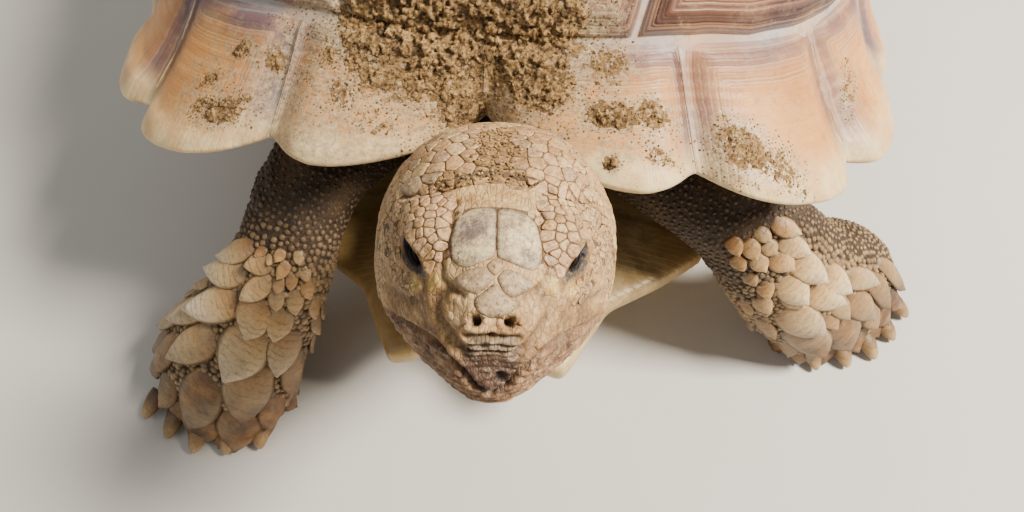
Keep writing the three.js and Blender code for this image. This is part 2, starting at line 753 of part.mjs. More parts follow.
// A block across the head whose side view is an outline of Y and Z.
function headBlock(outline) {
  const shape = new THREE.Shape(outline.map(([y, z]) => new THREE.Vector2(y, z)));
  const geometry = new THREE.ExtrudeGeometry(shape, { depth: 120, bevelEnabled: false });
  geometry.applyMatrix4(new THREE.Matrix4().makeBasis(V(0, 1, 0), V(0, 0, 1), V(1, 0, 0)));
  return solidOfGeometry(geometry.translate(-60, 0, 0));
}

// All that lies below the line of the mouth and ahead of its corners.
function jawBlock(grow = 0) {
  const line = MOUTH_LINE.map(([y, z]) => [y, z + grow]);
  const [tip, corner] = [line[0], line[line.length - 1]];
  return headBlock([
    [tip[0] - 20, tip[1]], ...line.slice(0, -1), [corner[0] + grow, corner[1]], [corner[0] + 9 + grow, -46],
    [tip[0] - 20, -46],
  ]);
}

function headParts() {
  const beak = ellipsoid([0, -37.5, -4.5], [12, 11, 8.5], 12);
  const chin = ellipsoid([0, -29, -17], [13.5, 13, 8.5], 12);
  const holes = [1, -1].flatMap((side) => [eyeball(side, GAP), lidOpening(side), nostril(side)]);
  const skull = joined([headBody(), ...cheeks(), lidBulge(1), lidBulge(-1), beak, ...headPlates()]);
  const underBite = headBlock([[-62, 10], [-45, -46], [-62, -46]]);
  const solids = {
    head: skull.subtract(joined(holes)).subtract(jawBlock(GAP)),
    lower_jaw: joined([headBody(), ...cheeks(), chin]).intersect(jawBlock()).subtract(underBite),
    eye_left: eyeball(1),
    eye_right: eyeball(-1),
  };
  return Object.fromEntries(
    Object.entries(solids).map(([name, solid]) => [name, largest(solid).transform(HEAD_PLACE.elements)]),
  );
}

// ---------------------------------------------------------------- limbs, neck and tail

// A tube through stations. Angle 0 is the middle of the broad face, PI / 2 is its one edge.
function limb(stations, facing, squareness = 2.2) {
  const path = new THREE.CatmullRomCurve3(stations.map(([x, y, z]) => V(x, y, z)), false, "centripetal");
  const rows = (k) => stations.map((s, i) => [i / (stations.length - 1), s[k]]);
  const frame = (t) => {
    const tangent = path.getTangent(clamp(t, 0, 1));
    const front = V(...facing).addScaledVector(tangent, -V(...facing).dot(tangent)).normalize();
    const aside = V(0, 0, 0).crossVectors(tangent, front);
    return { centre: path.getPoint(clamp(t, 0, 1)), tangent, front, aside };
  };
  const point = (t, angle, grow = 0) => {
    const { centre, front, aside } = frame(t);
    const [c, s] = [cos(angle), sin(angle)].map((v) => Math.sign(v) * pow(abs(v), 2 / squareness));
    return centre.addScaledVector(front, (curve(rows(4), t) + grow) * c)
      .addScaledVector(aside, (curve(rows(3), t) + grow) * s);
  };
  const normal = (t, angle) => {
    const along = point(min(t + 0.01, 1), angle).sub(point(max(t - 0.01, 0), angle));
    const round = point(t, angle + 0.03).sub(point(t, angle - 0.03));
    const n = V(0, 0, 0).crossVectors(along, round).normalize();
    return n.dot(point(t, angle).sub(frame(t).centre)) < 0 ? n.negate() : n;
  };
  const body = (steps, around, grow = 0) =>
    loft(Array.from({ length: steps + 1 }, (_, k) =>
      Array.from({ length: around }, (_, i) => point(k / steps, (2 * PI * i) / around, grow))));
  return { frame, point, normal, body };
}

// A shield-shaped scale that lies along the limb, with its root sunk and its tip lifted.
function shieldScale(root, along, normal, length, width, lift) {
  const sunk = 5;
  const flow = along.clone().addScaledVector(normal, -along.dot(normal)).normalize();
  const aside = V(0, 0, 0).crossVectors(flow, normal);
  const at = (a, b, n) =>
    root.clone().addScaledVector(flow, a * length)
      .addScaledVector(aside, b * width).addScaledVector(normal, n);
  const points = [
    at(-0.45, -0.36, -0.6), at(-0.5, 0, 0.6), at(-0.45, 0.36, -0.6),
    at(0.02, -0.5, lift * 0.25), at(-0.02, 0, lift * 0.85), at(0.02, 0.5, lift * 0.25),
    at(0.34, -0.34, lift * 0.45), at(0.32, 0, lift), at(0.34, 0.34, lift * 0.45),
    at(0.56, 0, lift * 0.7), at(-0.12, 0, -sunk),
  ];
  const [tip, deep] = [9, 10];
  const quad = (a, b, c, d) => [[a, b, c], [a, c, d]];
  const top = [
    ...quad(0, 3, 4, 1), ...quad(1, 4, 5, 2), ...quad(3, 6, 7, 4), ...quad(4, 7, 8, 5),
    [6, tip, 7], [7, tip, 8],
  ];
  const edge = [0, 1, 2, 5, 8, tip, 6, 3];
  return outward(points, [...top, ...edge.map((p, i) => [p, edge[(i + 1) % edge.length], deep])]);
}

// A tapering cone that bends down towards its tip.
function horn(root, along, length, radius, curl) {
  const sides = 6;
  const up = abs(along.z) > 0.8 ? V(0, 1, 0) : V(0, 0, 1);
  const aside = V(0, 0, 0).crossVectors(along, up).normalize();
  const over = V(0, 0, 0).crossVectors(aside, along);
  const middle = (t) =>
    root.clone().addScaledVector(along, t * length).addScaledVector(over, -curl * t * t * length);
  const ring = (t, share) =>
    Array.from({ length: sides }, (_, i) => {
      const a = (2 * PI * i) / sides;
      return middle(t).addScaledVector(aside, cos(a) * radius * share)
        .addScaledVector(over, sin(a) * radius * share * 0.8);
    });
  return loft([ring(-0.25, 0.8), ring(0.15, 1), ring(0.75, 0.62), [middle(1)]]);
}

function claws(foot, toes, { count, spread, reach, length }) {
  const ahead = V(...toes);
  const aside = V(0, 0, 0).crossVectors(ahead, V(0, 0, 1));
  return Array.from({ length: count }, (_, i) => {
    const t = (2 * i) / (count - 1) - 1;
    const along = ahead.clone().multiplyScalar(cos(t * 0.75))
      .addScaledVector(aside, sin(t * 0.75)).setZ(-0.16);
    const root = foot.clone().addScaledVector(ahead, reach * cos(t * 0.9))
      .addScaledVector(aside, spread * t).setZ(9.5);
    return horn(root, along.normalize(), length * (1 - 0.18 * t * t), 6.6, 0.1);
  });
}

const ground = (() => {
  const block = new THREE.BoxGeometry(1400, 1400, 100);
  return solidOfGeometry(block.translate(0, 0, -50));
})();

// Rows of shield scales over the front of the foreleg, larger towards the foot.
function foreScales(arm, random) {
  const scales = [];
  const rows = 7;
  for (let row = 0; row < rows; row += 1) {
    const t = 0.36 + (0.54 * row) / (rows - 1);
    const count = row % 2 ? 4 : 3;
    for (let i = 0; i < count; i += 1) {
      const angle = (i - (count - 1) / 2) * 0.72 + 0.1 * (random() - 0.5);
      const size = mix(0.55, 1, smooth(0.33, 0.62, t)) * (0.9 + 0.25 * random());
      const width = 21 * size * (1 - 0.25 * abs(angle)) + 2;
      const [root, flow, normal] = [arm.point(t, angle), arm.frame(t).tangent, arm.normal(t, angle)];
      scales.push(shieldScale(root, flow, normal, 27 * size, width, 5.2 * size + 1));
    }
  }
  return scales;
}

function foreleg(side) {
  const { stations, facing, toes } = FORELEGS[side];
  const arm = limb(stations, facing);
  const feet = claws(arm.frame(0.97).centre, toes, { count: 5, spread: 27, reach: 20, length: 18 });
  const scales = foreScales(arm, seeded(side === "left" ? 5 : 8));
  const whole = joined([arm.body(9, 14), ...scales, ...feet]).subtract(ground);
  // Everything beyond a cut across the elbow.
  const { centre, tangent, front, aside } = arm.frame(ELBOW);
  const beyond = (from) => {
    const block = new THREE.BoxGeometry(300, 300, 300).translate(0, 0, 150 + from);
    block.applyMatrix4(new THREE.Matrix4().makeBasis(front, aside, tangent));
    return solidOfGeometry(block.translate(...centre));
  };
  return { upper: whole.subtract(beyond(-GAP / 2)), lower: whole.intersect(beyond(GAP / 2)) };
}

function hindleg(side) {
  const { stations, toes } = HINDLEGS[side];
  const leg = limb(stations, [0, -1, 0.2]);
  const random = seeded(side === "left" ? 3 : 4);
  const turnOut = side === "left" ? 1 : -1;
  const scales = [];
  for (let row = 0; row < 3; row += 1) {
    for (let i = 0; i < 4; i += 1) {
      const t = 0.62 + row * 0.11;
      const angle = PI + (i - 1.5 + (row % 2) * 0.5) * 0.5;
      const size = 0.8 + 0.35 * random();
      const [root, flow, normal] = [leg.point(t, angle), leg.frame(t).tangent, leg.normal(t, angle)];
      scales.push(shieldScale(root, flow, normal, 19 * size, 14 * size, 4.2));
    }
  }
  // Conical spurs on the back of the thigh: place along, turn, length and radius.
  const sizes = [[0.34, 0, 25, 9], [0.42, 0.5, 20, 7.5], [0.44, -0.42, 18, 7]];
  const spurs = sizes.map(([t, turn, length, radius]) => {
    const angle = PI + turn * turnOut;
    const out = leg.normal(t, angle).setZ(-0.05).normalize();
    return horn(leg.point(t, angle).addScaledVector(out, -1), out, length, radius, 0.12);
  });
  const feet = claws(leg.frame(0.96).centre, toes, { count: 4, spread: 23, reach: 27, length: 19 });
  return joined([leg.body(8, 12), ...scales, ...spurs, ...feet]).subtract(ground);
}

// ---------------------------------------------------------------- all the parts

function bodyParts() {
  const shellSpace = joined([shellClearance(), plastronClearance()]);
  const torsoSpace = torso(GAP);
  const headSpace = joined([headBody(GAP), ...cheeks(GAP)]).transform(HEAD_PLACE.elements);
  const neckTube = limb(NECK, [0, 0.5, 1], 2);
  const neckSpace = neckTube.body(10, 20, GAP);
  const parts = {
    carapace: carapace(),
    plastron: plastron(),
    torso: torso(),
    ...headParts(),
    neck: neckTube.body(10, 20).subtract(joined([torsoSpace, shellSpace, headSpace])),
    tail: limb(TAIL, [0, -0.3, 1]).body(8, 12).subtract(joined([torsoSpace, shellSpace])),
  };
  for (const side of ["left", "right"]) {
    const { upper, lower } = foreleg(side);
    parts[`upper_arm_${side}`] = upper.subtract(joined([torsoSpace, shellSpace, neckSpace]));
    parts[`forearm_${side}`] = lower.subtract(shellSpace);
    parts[`hind_leg_${side}`] = hindleg(side).subtract(joined([torsoSpace, shellSpace]));
  }
  return Object.fromEntries(Object.entries(parts).map(([name, solid]) => [name, largest(solid)]));
}

// Colour and roughness of each part. Skin has the colour named flesh.
const FINISHES = {
  flesh: ["#a08463", 0.8],
  carapace: ["#b08d6a", 0.55],
  plastron: ["#d9c49a", 0.5],
  eye_left: ["#1a120c", 0.1],
  eye_right: ["#1a120c", 0.1],
};

const tortoise = new THREE.Group();
for (const [name, solid] of Object.entries(bodyParts())) {
  const data = solid.getMesh();
  const geometry = new THREE.BufferGeometry();
  geometry.setAttribute("position", new THREE.BufferAttribute(new Float32Array(data.vertProperties), 3));
  geometry.setIndex(new THREE.BufferAttribute(data.triVerts, 1));
  const [color, roughness] = FINISHES[name] ?? FINISHES.flesh;
  const mesh = new THREE.Mesh(geometry, new THREE.MeshStandardMaterial({ color, roughness, metalness: 0 }));
  mesh.name = name;
  tortoise.add(mesh);
}

// The origin is under the middle of the whole animal, on the ground.
const middle = new THREE.Box3().setFromObject(tortoise).getCenter(V(0, 0, 0));
tortoise.position.set(-middle.x, -middle.y, 0);

export default tortoise;
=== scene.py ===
"""A grown sulcata tortoise at life size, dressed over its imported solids.

Sizes are in millimetres in the animal's own frame: +X is its left side, the head points along -Y
and the ground is at Z = 0. place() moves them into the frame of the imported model, in metres.
"""

import math

import bmesh
import bpy
import numpy as np
from mathutils import Matrix, Vector
from mathutils.bvhtree import BVHTree
from mathutils.kdtree import KDTree


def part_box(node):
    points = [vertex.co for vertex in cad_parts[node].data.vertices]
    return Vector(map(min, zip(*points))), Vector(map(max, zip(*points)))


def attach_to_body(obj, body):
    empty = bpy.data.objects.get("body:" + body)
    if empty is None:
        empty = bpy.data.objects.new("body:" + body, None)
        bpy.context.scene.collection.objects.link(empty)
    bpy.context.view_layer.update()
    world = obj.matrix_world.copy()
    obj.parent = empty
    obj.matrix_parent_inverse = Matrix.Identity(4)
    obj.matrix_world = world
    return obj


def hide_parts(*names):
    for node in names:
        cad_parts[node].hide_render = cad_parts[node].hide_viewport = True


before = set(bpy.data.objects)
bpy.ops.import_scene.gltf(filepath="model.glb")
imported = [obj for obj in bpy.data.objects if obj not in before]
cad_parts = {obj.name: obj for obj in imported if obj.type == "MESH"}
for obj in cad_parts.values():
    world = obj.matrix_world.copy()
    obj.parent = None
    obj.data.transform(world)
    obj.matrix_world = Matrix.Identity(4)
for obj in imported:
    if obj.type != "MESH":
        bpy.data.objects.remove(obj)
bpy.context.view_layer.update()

# ---------------- sizes of the shell

SHELL = dict(front=226, rear=238, half_width=172, squareness=3.0, broad=0.05, top=268,
             wall=12, front_exponent=2.6, side_exponent=2.8, side_power=0.55, marginals=0.8)
RIM_HEIGHT = [[0, 147], [.12, 143], [.22, 120], [.32, 103], [.43, 89], [.54, 84], [.66, 86],
              [.77, 95], [.88, 97], [1, 88]]
RIM_LENGTH = 1360 / 2  # of half the rim
FLARE_LIFT = [[0, 10], [.25, 11], [.42, 1], [.66, 1], [.85, 8], [1, 1]]
FLARE_OUT = [[0, 0], [.11, 3], [.17, 13], [.22, 20], [.3, 15], [.42, 4], [.66, 4], [.84, 9], [1, 5]]
LOBE_DEPTH = [[0, 9], [.17, 13], [.3, 11], [.42, 4], [.64, 4], [.84, 8], [1, 6]]
NOTCH_DEPTH, NOTCH_REACH = 24, 0.09
MARGINAL_WIDTHS = [84, 74, 62, 56, 54, 54, 54, 54, 56, 58, 58, 44]
VERTEBRAL_SEAMS = [-.8, -.47, -.155, .16, .48, .8]
VERTEBRAL_SEAM_HALF = [.225, .18, .19, .185, .15, .23]
VERTEBRAL_CORNER_HALF = [.25, .28, .29, .27, .26]
COSTAL_SEAM_ENDS = [.405, .575, .735]
ARC = 290  # from the top of the shell to the rim
SCUTE_EDGE, SCUTE_SHOULDER, SCUTE_CROWN = .6, 3.0, 6.3  # heights of a scute over the shell

# ---------------- sizes of the body

HEAD_CENTRE = (14.7, -289, 196.4)
HEAD_SCALE, HEAD_PITCH, HEAD_YAW, HEAD_ROLL = 0.94, 18, 5.5, 2
HEAD_WIDTH = [[-46, 24.5], [-36, 31.5], [-22, 36.5], [-6, 37.7], [8, 35.8], [20, 30.6], [30, 24.2],
              [38, 17.6], [43.5, 12], [46.5, 6.5]]
HEAD_TOP = [[-46, 18], [-34, 25.5], [-20, 30.5], [-6, 32.5], [5, 32], [18, 29.5], [30, 24.5],
            [38, 20.5], [43.5, 15.5], [46.5, 7]]
HEAD_BOTTOM = [[-46, -22], [-34, -28], [-20, -31.5], [-6, -33], [8, -33], [20, -30.5], [30, -26.5],
               [38, -22], [43.5, -17], [46.5, -10]]
HEAD_WIDEST = [[-46, -2], [-10, -4], [20, -6], [46.5, -3]]
SNOUT, SNOUT_ROUND, NAPE, NAPE_ROUND = 47.8, 43.5, -48.5, -41
HEAD_SQUARENESS = 2.2
CROWN_FOLD = [[0, -5.1], [14, -6.5], [28, 0]]  # Y of the fold behind the brows, by half width
EYE_RADIUS = 8.7
EYE_CENTRE, EYE_LOOK, EYE_SLANT = (16.1, -16.2, 13.9), (.6, -.68, .42), (.58, .72, .37)

# Tubes: stations of X, Y, Z, half width and half depth.
LIMBS = {
    "foreleg_right": dict(
        stations=[(-54, -150, 98, 27, 25), (-73, -184, 102, 24, 23), (-82, -206, 98, 22, 22),
        (-90, -226, 80, 23, 21), (-104, -242, 54, 28, 22), (-123, -258, 24, 35, 24),
        (-133, -265, -6, 35, 26)],
        facing=(-.25, -.75, .62), toes=(-.15, -.99, 0)),
    "foreleg_left": dict(
        stations=[(54, -150, 98, 27, 25), (88, -180, 99, 25, 23), (110, -192, 92, 25, 22),
        (128, -196, 75, 28, 22), (147, -196, 51, 32, 23), (171, -187, 24, 38, 25), (183, -182, -6, 37, 27)],
        facing=(.35, -.75, .55), toes=(.58, -.81, 0)),
    "hind_leg_right": dict(
        stations=[(-70, 138, 102, 33, 32), (-104, 170, 86, 33, 32), (-120, 194, 58, 30, 31),
        (-124, 204, 30, 30, 32), (-125, 206, -6, 34, 37)],
        facing=(0, -1, .2), toes=(-.25, -.97, 0)),
    "hind_leg_left": dict(
        stations=[(72, 130, 102, 33, 32), (108, 140, 86, 33, 32), (126, 138, 58, 30, 31),
        (130, 132, 30, 30, 32), (131, 128, -6, 34, 37)],
        facing=(0, -1, .2), toes=(.3, -.95, 0)),
    "neck": dict(
        stations=[(0, -150, 92, 38, 32), (2, -190, 96, 38, 31), (6, -223, 108, 36, 31),
        (9, -245, 130, 33, 29), (12, -259, 156, 29, 25), (14, -267, 180, 24, 19)],
        facing=(0, .5, 1), squareness=2),
    "tail": dict(
        stations=[(4, 172, 88, 17, 15), (8, 206, 80, 15, 13), (16, 236, 66, 11, 10), (26, 254, 52, 6.5, 6),
        (31, 261, 44, 2.5, 2.5)],
        facing=(0, -.3, 1), squareness=2),
}
COAT_DEPTH = 1.0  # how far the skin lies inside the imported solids

# ---------------- helpers

low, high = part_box("carapace")
CARAPACE_FRONT = -231.254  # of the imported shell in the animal's own frame
SHIFT = np.array([(low.x + high.x) * 500, low.y * 1000 - CARAPACE_FRONT, 0])


def place(points):
    """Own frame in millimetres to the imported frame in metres."""
    return (np.asarray(points, float) + SHIFT) / 1000


def curve(rows, x):
    """Smooth curve through rows of (x, value), flat beyond its ends."""
    xs, ys = np.array(rows, float).T
    x = np.clip(np.asarray(x, float), xs[0], xs[-1])
    before, after = np.maximum(np.arange(len(xs)) - 1, 0), np.minimum(np.arange(len(xs)) + 1, len(xs) - 1)
    slope = (ys[after] - ys[before]) / (xs[after] - xs[before])
    i = np.clip(np.searchsorted(xs, x, side="right") - 1, 0, len(xs) - 2)
    step = xs[i + 1] - xs[i]
    t = (x - xs[i]) / step
    return (ys[i] * (2 * t**3 - 3 * t**2 + 1) + slope[i] * step * (t**3 - 2 * t**2 + t)
            + ys[i + 1] * (3 * t**2 - 2 * t**3) + slope[i + 1] * step * (t**3 - t**2))


def smooth(a, b, x):
    """0 before a, 1 past b and an easy slope between; a may be the larger."""
    t = np.clip((x - a) / (b - a), 0, 1)
    return t * t * (3 - 2 * t)


def hump(x, width):
    return np.exp(-(x / width) ** 2)


def unit(v):
    v = np.asarray(v, float)
    return v / np.maximum(np.linalg.norm(v, axis=-1, keepdims=True), 1e-9)


def scrambled(cell, seed):
    """A number from 0 to 1 for each whole-numbered cell of space, the same every time."""
    x, y, z = np.moveaxis(cell, -1, 0)
    h = (x * 73856093 ^ y * 19349663 ^ z * 83492791 ^ seed * 2654435) & 0xFFFFFF
    h = (h * 1103515245 + 12345) & 0x7FFFFFFF
    return (((h >> 8) * 69069 + 1) & 0xFFFFFF) / 0xFFFFFF


def value_noise(p, size, seed=0):
    """Smooth noise from -1 to 1 over points, with features of one size."""
    q = np.asarray(p, float) / size + 17.3 * seed
    cell = np.floor(q).astype(np.int64)
    f = q - cell
    f = f * f * (3 - 2 * f)
    total = np.zeros(q.shape[:-1])
    for d in np.ndindex(2, 2, 2):
        d = np.array(d[::-1])
        total += np.prod(np.where(d, f, 1 - f), axis=-1) * (2 * scrambled(cell + d, seed) - 1)
    return total


def noise_vector(p, size, seed):
    return np.stack([value_noise(p, size, seed + k) for k in range(3)], -1)


def fractal(p, size, seed=0, octaves=3):
    return sum(value_noise(p, size / 2**k, seed + k) / 2**k for k in range(octaves)) / 1.6


def granules(p, size, seed):
    """Distance from the middle of the nearest of many scattered grains, in their size, and its own number."""
    q = np.asarray(p, float) / size
    cell = np.floor(q).astype(np.int64)
    best, own = np.full(len(q), 9.0), np.zeros(len(q))
    for step in np.ndindex(3, 3, 3):
        c = cell + np.array(step) - 1
        middle = c + np.stack([scrambled(c, seed + k) for k in (101, 202, 303)], -1)
        gap = np.linalg.norm(q - middle, axis=1)
        own = np.where(gap < best, scrambled(c, seed + 404), own)
        best = np.minimum(best, gap)
    return best, own


def nearby(points):
    """A tree that finds the nearest of some points."""
    tree = KDTree(len(points))
    for i, point in enumerate(points):
        tree.insert(point, i)
    tree.balance()
    return tree


def turned(count):
    """Angles all the way round, the last one left out."""
    return np.linspace(0, 2 * math.pi, count, endpoint=False)


# ---------------- meshes

def linked(name, mesh):
    obj = bpy.data.objects.new(name, mesh)
    bpy.context.scene.collection.objects.link(obj)
    return obj


def evaluated(obj):
    """The object's mesh with its modifiers applied."""
    graph = bpy.context.evaluated_depsgraph_get()
    return bpy.data.meshes.new_from_object(obj.evaluated_get(graph))


def mesh_points(mesh):
    points = np.empty(len(mesh.vertices) * 3)
    mesh.vertices.foreach_get("co", points)
    return points.reshape(-1, 3)


def move_points(mesh, points):
    mesh.vertices.foreach_set("co", points.ravel())


def point_values(mesh, name, values):
    data = np.asarray(values, np.float32)
    kind, field = ("FLOAT_VECTOR", "vector") if data.ndim == 2 else ("FLOAT", "value")
    mesh.attributes.new(name, kind, "POINT").data.foreach_set(field, data.ravel())


def edited(mesh, *steps):
    """Runs bmesh operators, given with their settings, over a mesh."""
    bm = bmesh.new()
    bm.from_mesh(mesh)
    for operator, elements, settings in steps:
        operator(bm, **{elements: getattr(bm, elements)}, **settings)
    bm.to_mesh(mesh)
    bm.free()
    return mesh


def shade(mesh, is_smooth=True):
    mesh.polygons.foreach_set("use_smooth", [is_smooth] * len(mesh.polygons))


def finish_normals(mesh):
    edited(mesh, (bmesh.ops.recalc_face_normals, "faces", {}))
    shade(mesh)


def grid_faces(rows, columns):
    """Quads of a grid of points whose columns join round."""
    r, c = np.meshgrid(np.arange(rows - 1), np.arange(columns), indexing="ij")
    c1 = (c + 1) % columns
    quads = np.stack([r * columns + c, r * columns + c1, (r + 1) * columns + c1, (r + 1) * columns + c], -1)
    return quads.reshape(-1, 4)


def closed_grid(rows, columns):
    """Faces of a tube of rings with a fan of its own at each end. Two points follow the grid."""
    faces = grid_faces(rows, columns).tolist()
    first, last = rows * columns, rows * columns + 1
    for i in range(columns):
        j = (i + 1) % columns
        faces.append([first, j, i])
        faces.append([last, (rows - 1) * columns + i, (rows - 1) * columns + j])
    return faces


def with_ends(rings):
    """Points of rings, and the middles of the first and the last."""
    return np.concatenate([rings.reshape(-1, 3), [rings[0].mean(0), rings[-1].mean(0)]])


class Mesh:
    """Points, faces and point attributes that grow piece by piece and become one object."""

    def __init__(self, *names):
        self.points, self.faces, self.count = [], [], 0
        self.values = {name: [] for name in names}

    def add(self, points, faces, **values):
        points = np.asarray(points, float).reshape(-1, 3)
        self.faces += [[i + self.count for i in face] for face in faces]
        self.points.append(points)
        for name, chunks in self.values.items():
            value = np.asarray(values.get(name, 0), float)
            if name == "atlas":
                chunks.append(value)
            else:
                chunks.append(np.broadcast_to(value.reshape(-1), (len(points),)))
        self.count += len(points)

    def build(self, name, material):
        mesh = bpy.data.meshes.new(name)
        mesh.from_pydata(place(np.concatenate(self.points)).tolist(), [], self.faces)
        atlas_chunks = self.values.pop("atlas", None)
        for key, chunks in self.values.items():
            point_values(mesh, key, np.concatenate(chunks))
        finish_normals(mesh)
        if atlas_chunks:
            corners = np.empty(len(mesh.loops), np.int32)
            mesh.loops.foreach_get("vertex_index", corners)
            where = np.concatenate(atlas_chunks)[corners, :2]
            mesh.uv_layers.new(name="OFBake").data.foreach_set("uv", where.astype(np.float32).ravel())
        mesh.materials.append(material)
        return linked(name, mesh)


# ---------------- surface of the shell

def rim_walk():
    """Length along half the rim from the front, with X and Y of its plan."""
    a = np.linspace(0, math.pi, 1201)
    power = 2 / SHELL["squareness"]
    reach = np.where(np.cos(a) > 0, -SHELL["front"], SHELL["rear"])
    y = reach * np.abs(np.cos(a)) ** power
    x = SHELL["half_width"] * np.maximum(np.sin(a), 0) ** power * (1 + SHELL["broad"] * y / SHELL["rear"])
    length = np.concatenate([[0], np.cumsum(np.hypot(np.diff(x), np.diff(y)))])
    return length / length[-1], x, y


RIM = rim_walk()
MARGINAL_SEAMS = np.concatenate([[0], np.cumsum(MARGINAL_WIDTHS)]) / sum(MARGINAL_WIDTHS)


def rim_plan(way):
    s = np.clip(np.abs(way), 0, 1)
    return np.interp(s, RIM[0], RIM[1]) * np.where(way < 0, -1, 1), np.interp(s, RIM[0], RIM[2])


def arch_share(way, r):
    side_share = np.clip(np.abs(rim_plan(way)[0]) / SHELL["half_width"], 0, 1) ** 3
    end = 1 - r ** SHELL["front_exponent"]
    side = np.maximum(1 - r ** SHELL["side_exponent"], 0) ** SHELL["side_power"]
    return end + (side - end) * side_share


WAY_STEPS, RHO_STEPS = 400, 160


def meridian_table():
    """Share of the reach from the middle, by way round and share of the arc to the rim."""
    ways, r = np.linspace(0, 1, WAY_STEPS + 1), np.linspace(0, 1, 81)
    reach = np.hypot(*rim_plan(ways))[:, None]
    rise = (SHELL["top"] - curve(RIM_HEIGHT, ways))[:, None]
    share = arch_share(ways[:, None], r[None])
    arc = np.concatenate([np.zeros((len(ways), 1)),
                          np.cumsum(np.hypot(reach * np.diff(r), rise * np.diff(share)), 1)], 1)
    arc /= arc[:, -1:]
    rhos = np.linspace(0, 1, RHO_STEPS + 1)
    return np.array([np.interp(rhos, row, r) for row in arc])


MERIDIANS = meridian_table()


def shell_point(way, rho, lobed=True):
    """A point of the shell by its way round from the front, to 1 at the rear, and share of the arc."""
    way, rho = np.broadcast_arrays(np.asarray(way, float), np.asarray(rho, float))
    way = (way + 1) % 2 - 1
    s = np.abs(way)
    i, j = s * WAY_STEPS, np.clip(rho, 0, 1) * RHO_STEPS
    i0, j0 = np.minimum(i.astype(int), WAY_STEPS - 1), np.minimum(j.astype(int), RHO_STEPS - 1)
    u, v = i - i0, j - j0
    r = ((1 - u) * ((1 - v) * MERIDIANS[i0, j0] + v * MERIDIANS[i0, j0 + 1])
         + u * ((1 - v) * MERIDIANS[i0 + 1, j0] + v * MERIDIANS[i0 + 1, j0 + 1]))
    x, y = rim_plan(way)
    rim = curve(RIM_HEIGHT, s)
    z = rim + (SHELL["top"] - rim) * arch_share(way, r)
    edge = np.clip((rho - SHELL["marginals"]) / (1 - SHELL["marginals"]), 0, 1.2) ** 2
    k = np.clip(np.searchsorted(MARGINAL_SEAMS, s, side="left") - 1, 0, 11)
    start, end = MARGINAL_SEAMS[k], np.where(k == 11, 2 - MARGINAL_SEAMS[11], MARGINAL_SEAMS[k + 1])
    across = 2 * (s - start) / (end - start) - 1
    lobe = curve(LOBE_DEPTH, s) * (1 - np.abs(across) ** 2.6)
    notch = NOTCH_DEPTH * np.clip(1 - s / NOTCH_REACH, 0, 1) ** 1.3
    out = edge * (curve(FLARE_OUT, s) + (lobe - notch if lobed else 0))
    reach = np.hypot(x, y)
    return np.stack([x * r + x / reach * out, y * r + y / reach * out, z + edge * curve(FLARE_LIFT, s)], -1)


def shell_normal(way, rho):
    e = 0.004
    rho = np.clip(rho, 0.012, 1 - e)
    out = shell_point(way, rho + e, False) - shell_point(way, rho - e, False)
    across = shell_point(way + e, rho, False) - shell_point(way - e, rho, False)
    return unit(np.cross(out, across))


def over_shell(way, rho, height):
    """A point at a height over the shell, or under it where the height is less than 0."""
    return shell_point(way, rho) + shell_normal(way, rho) * np.asarray(height)[..., None]


def on_disc(xy, height):
    """A point of the unrolled disc, raised by a height."""
    xy = np.asarray(xy, float)
    return over_shell(np.arctan2(xy[..., 0], -xy[..., 1]) / math.pi, np.hypot(xy[..., 0], xy[..., 1]), height)


# ---------------- plates of the shell

def upper_scutes():
    """Outlines of the vertebral and costal scutes on the disc."""
    seams, half, corner = VERTEBRAL_SEAMS, VERTEBRAL_SEAM_HALF, VERTEBRAL_CORNER_HALF
    edge = SHELL["marginals"]
    apex_y = [-.62] + [(seams[i] + seams[i + 1]) / 2 for i in (1, 2, 3)] + [.64]

    def along_rim(a, b):
        ways = np.linspace(a, b, 9)
        return [[edge * math.sin(math.pi * w), -edge * math.cos(math.pi * w)] for w in ways]

    start = math.asin(half[0] / edge) / math.pi
    stop = 1 - math.asin(half[5] / edge) / math.pi
    outlines = []
    for i in range(5):
        front = along_rim(-start, start) if i == 0 else [[-half[i], seams[i]], [half[i], seams[i]]]
        rear = [[half[i + 1], seams[i + 1]], [-half[i + 1], seams[i + 1]]]
        if i == 4:
            rear = along_rim(stop, 2 - stop)
        outlines.append(front + [[corner[i], apex_y[i]]] + rear + [[-corner[i], apex_y[i]]])
    ends = [start, *COSTAL_SEAM_ENDS, stop]
    for i in range(4):
        inner = [[corner[i + 1], apex_y[i + 1]], [half[i + 1], seams[i + 1]], [corner[i], apex_y[i]]]
        outline = along_rim(ends[i], ends[i + 1]) + inner
        outlines.append(outline)
        outlines.append([[-x, y] for x, y in reversed(outline)])
    return outlines


def refined(outline, step):
    points = []
    for (x0, y0), (x1, y1) in zip(outline, outline[1:] + outline[:1]):
        parts = max(1, round(math.hypot(x1 - x0, y1 - y0) / step))
        points += [[x0 + (x1 - x0) * k / parts, y0 + (y1 - y0) * k / parts] for k in range(parts)]
    return np.array(points)


def scute_height(inset, share):
    """Height of a plate by its distance in from the seam and its share from the middle to the seam."""
    edge = -2.2 + (SCUTE_EDGE + 2.2) * smooth(0.4, 2.2, inset)
    body = SCUTE_EDGE + (SCUTE_SHOULDER - SCUTE_EDGE) * smooth(1.5, 11, inset)
    body += (SCUTE_CROWN - SCUTE_SHOULDER) * smooth(1, 0.1, share)
    return np.where(inset < 2.2, edge, body)


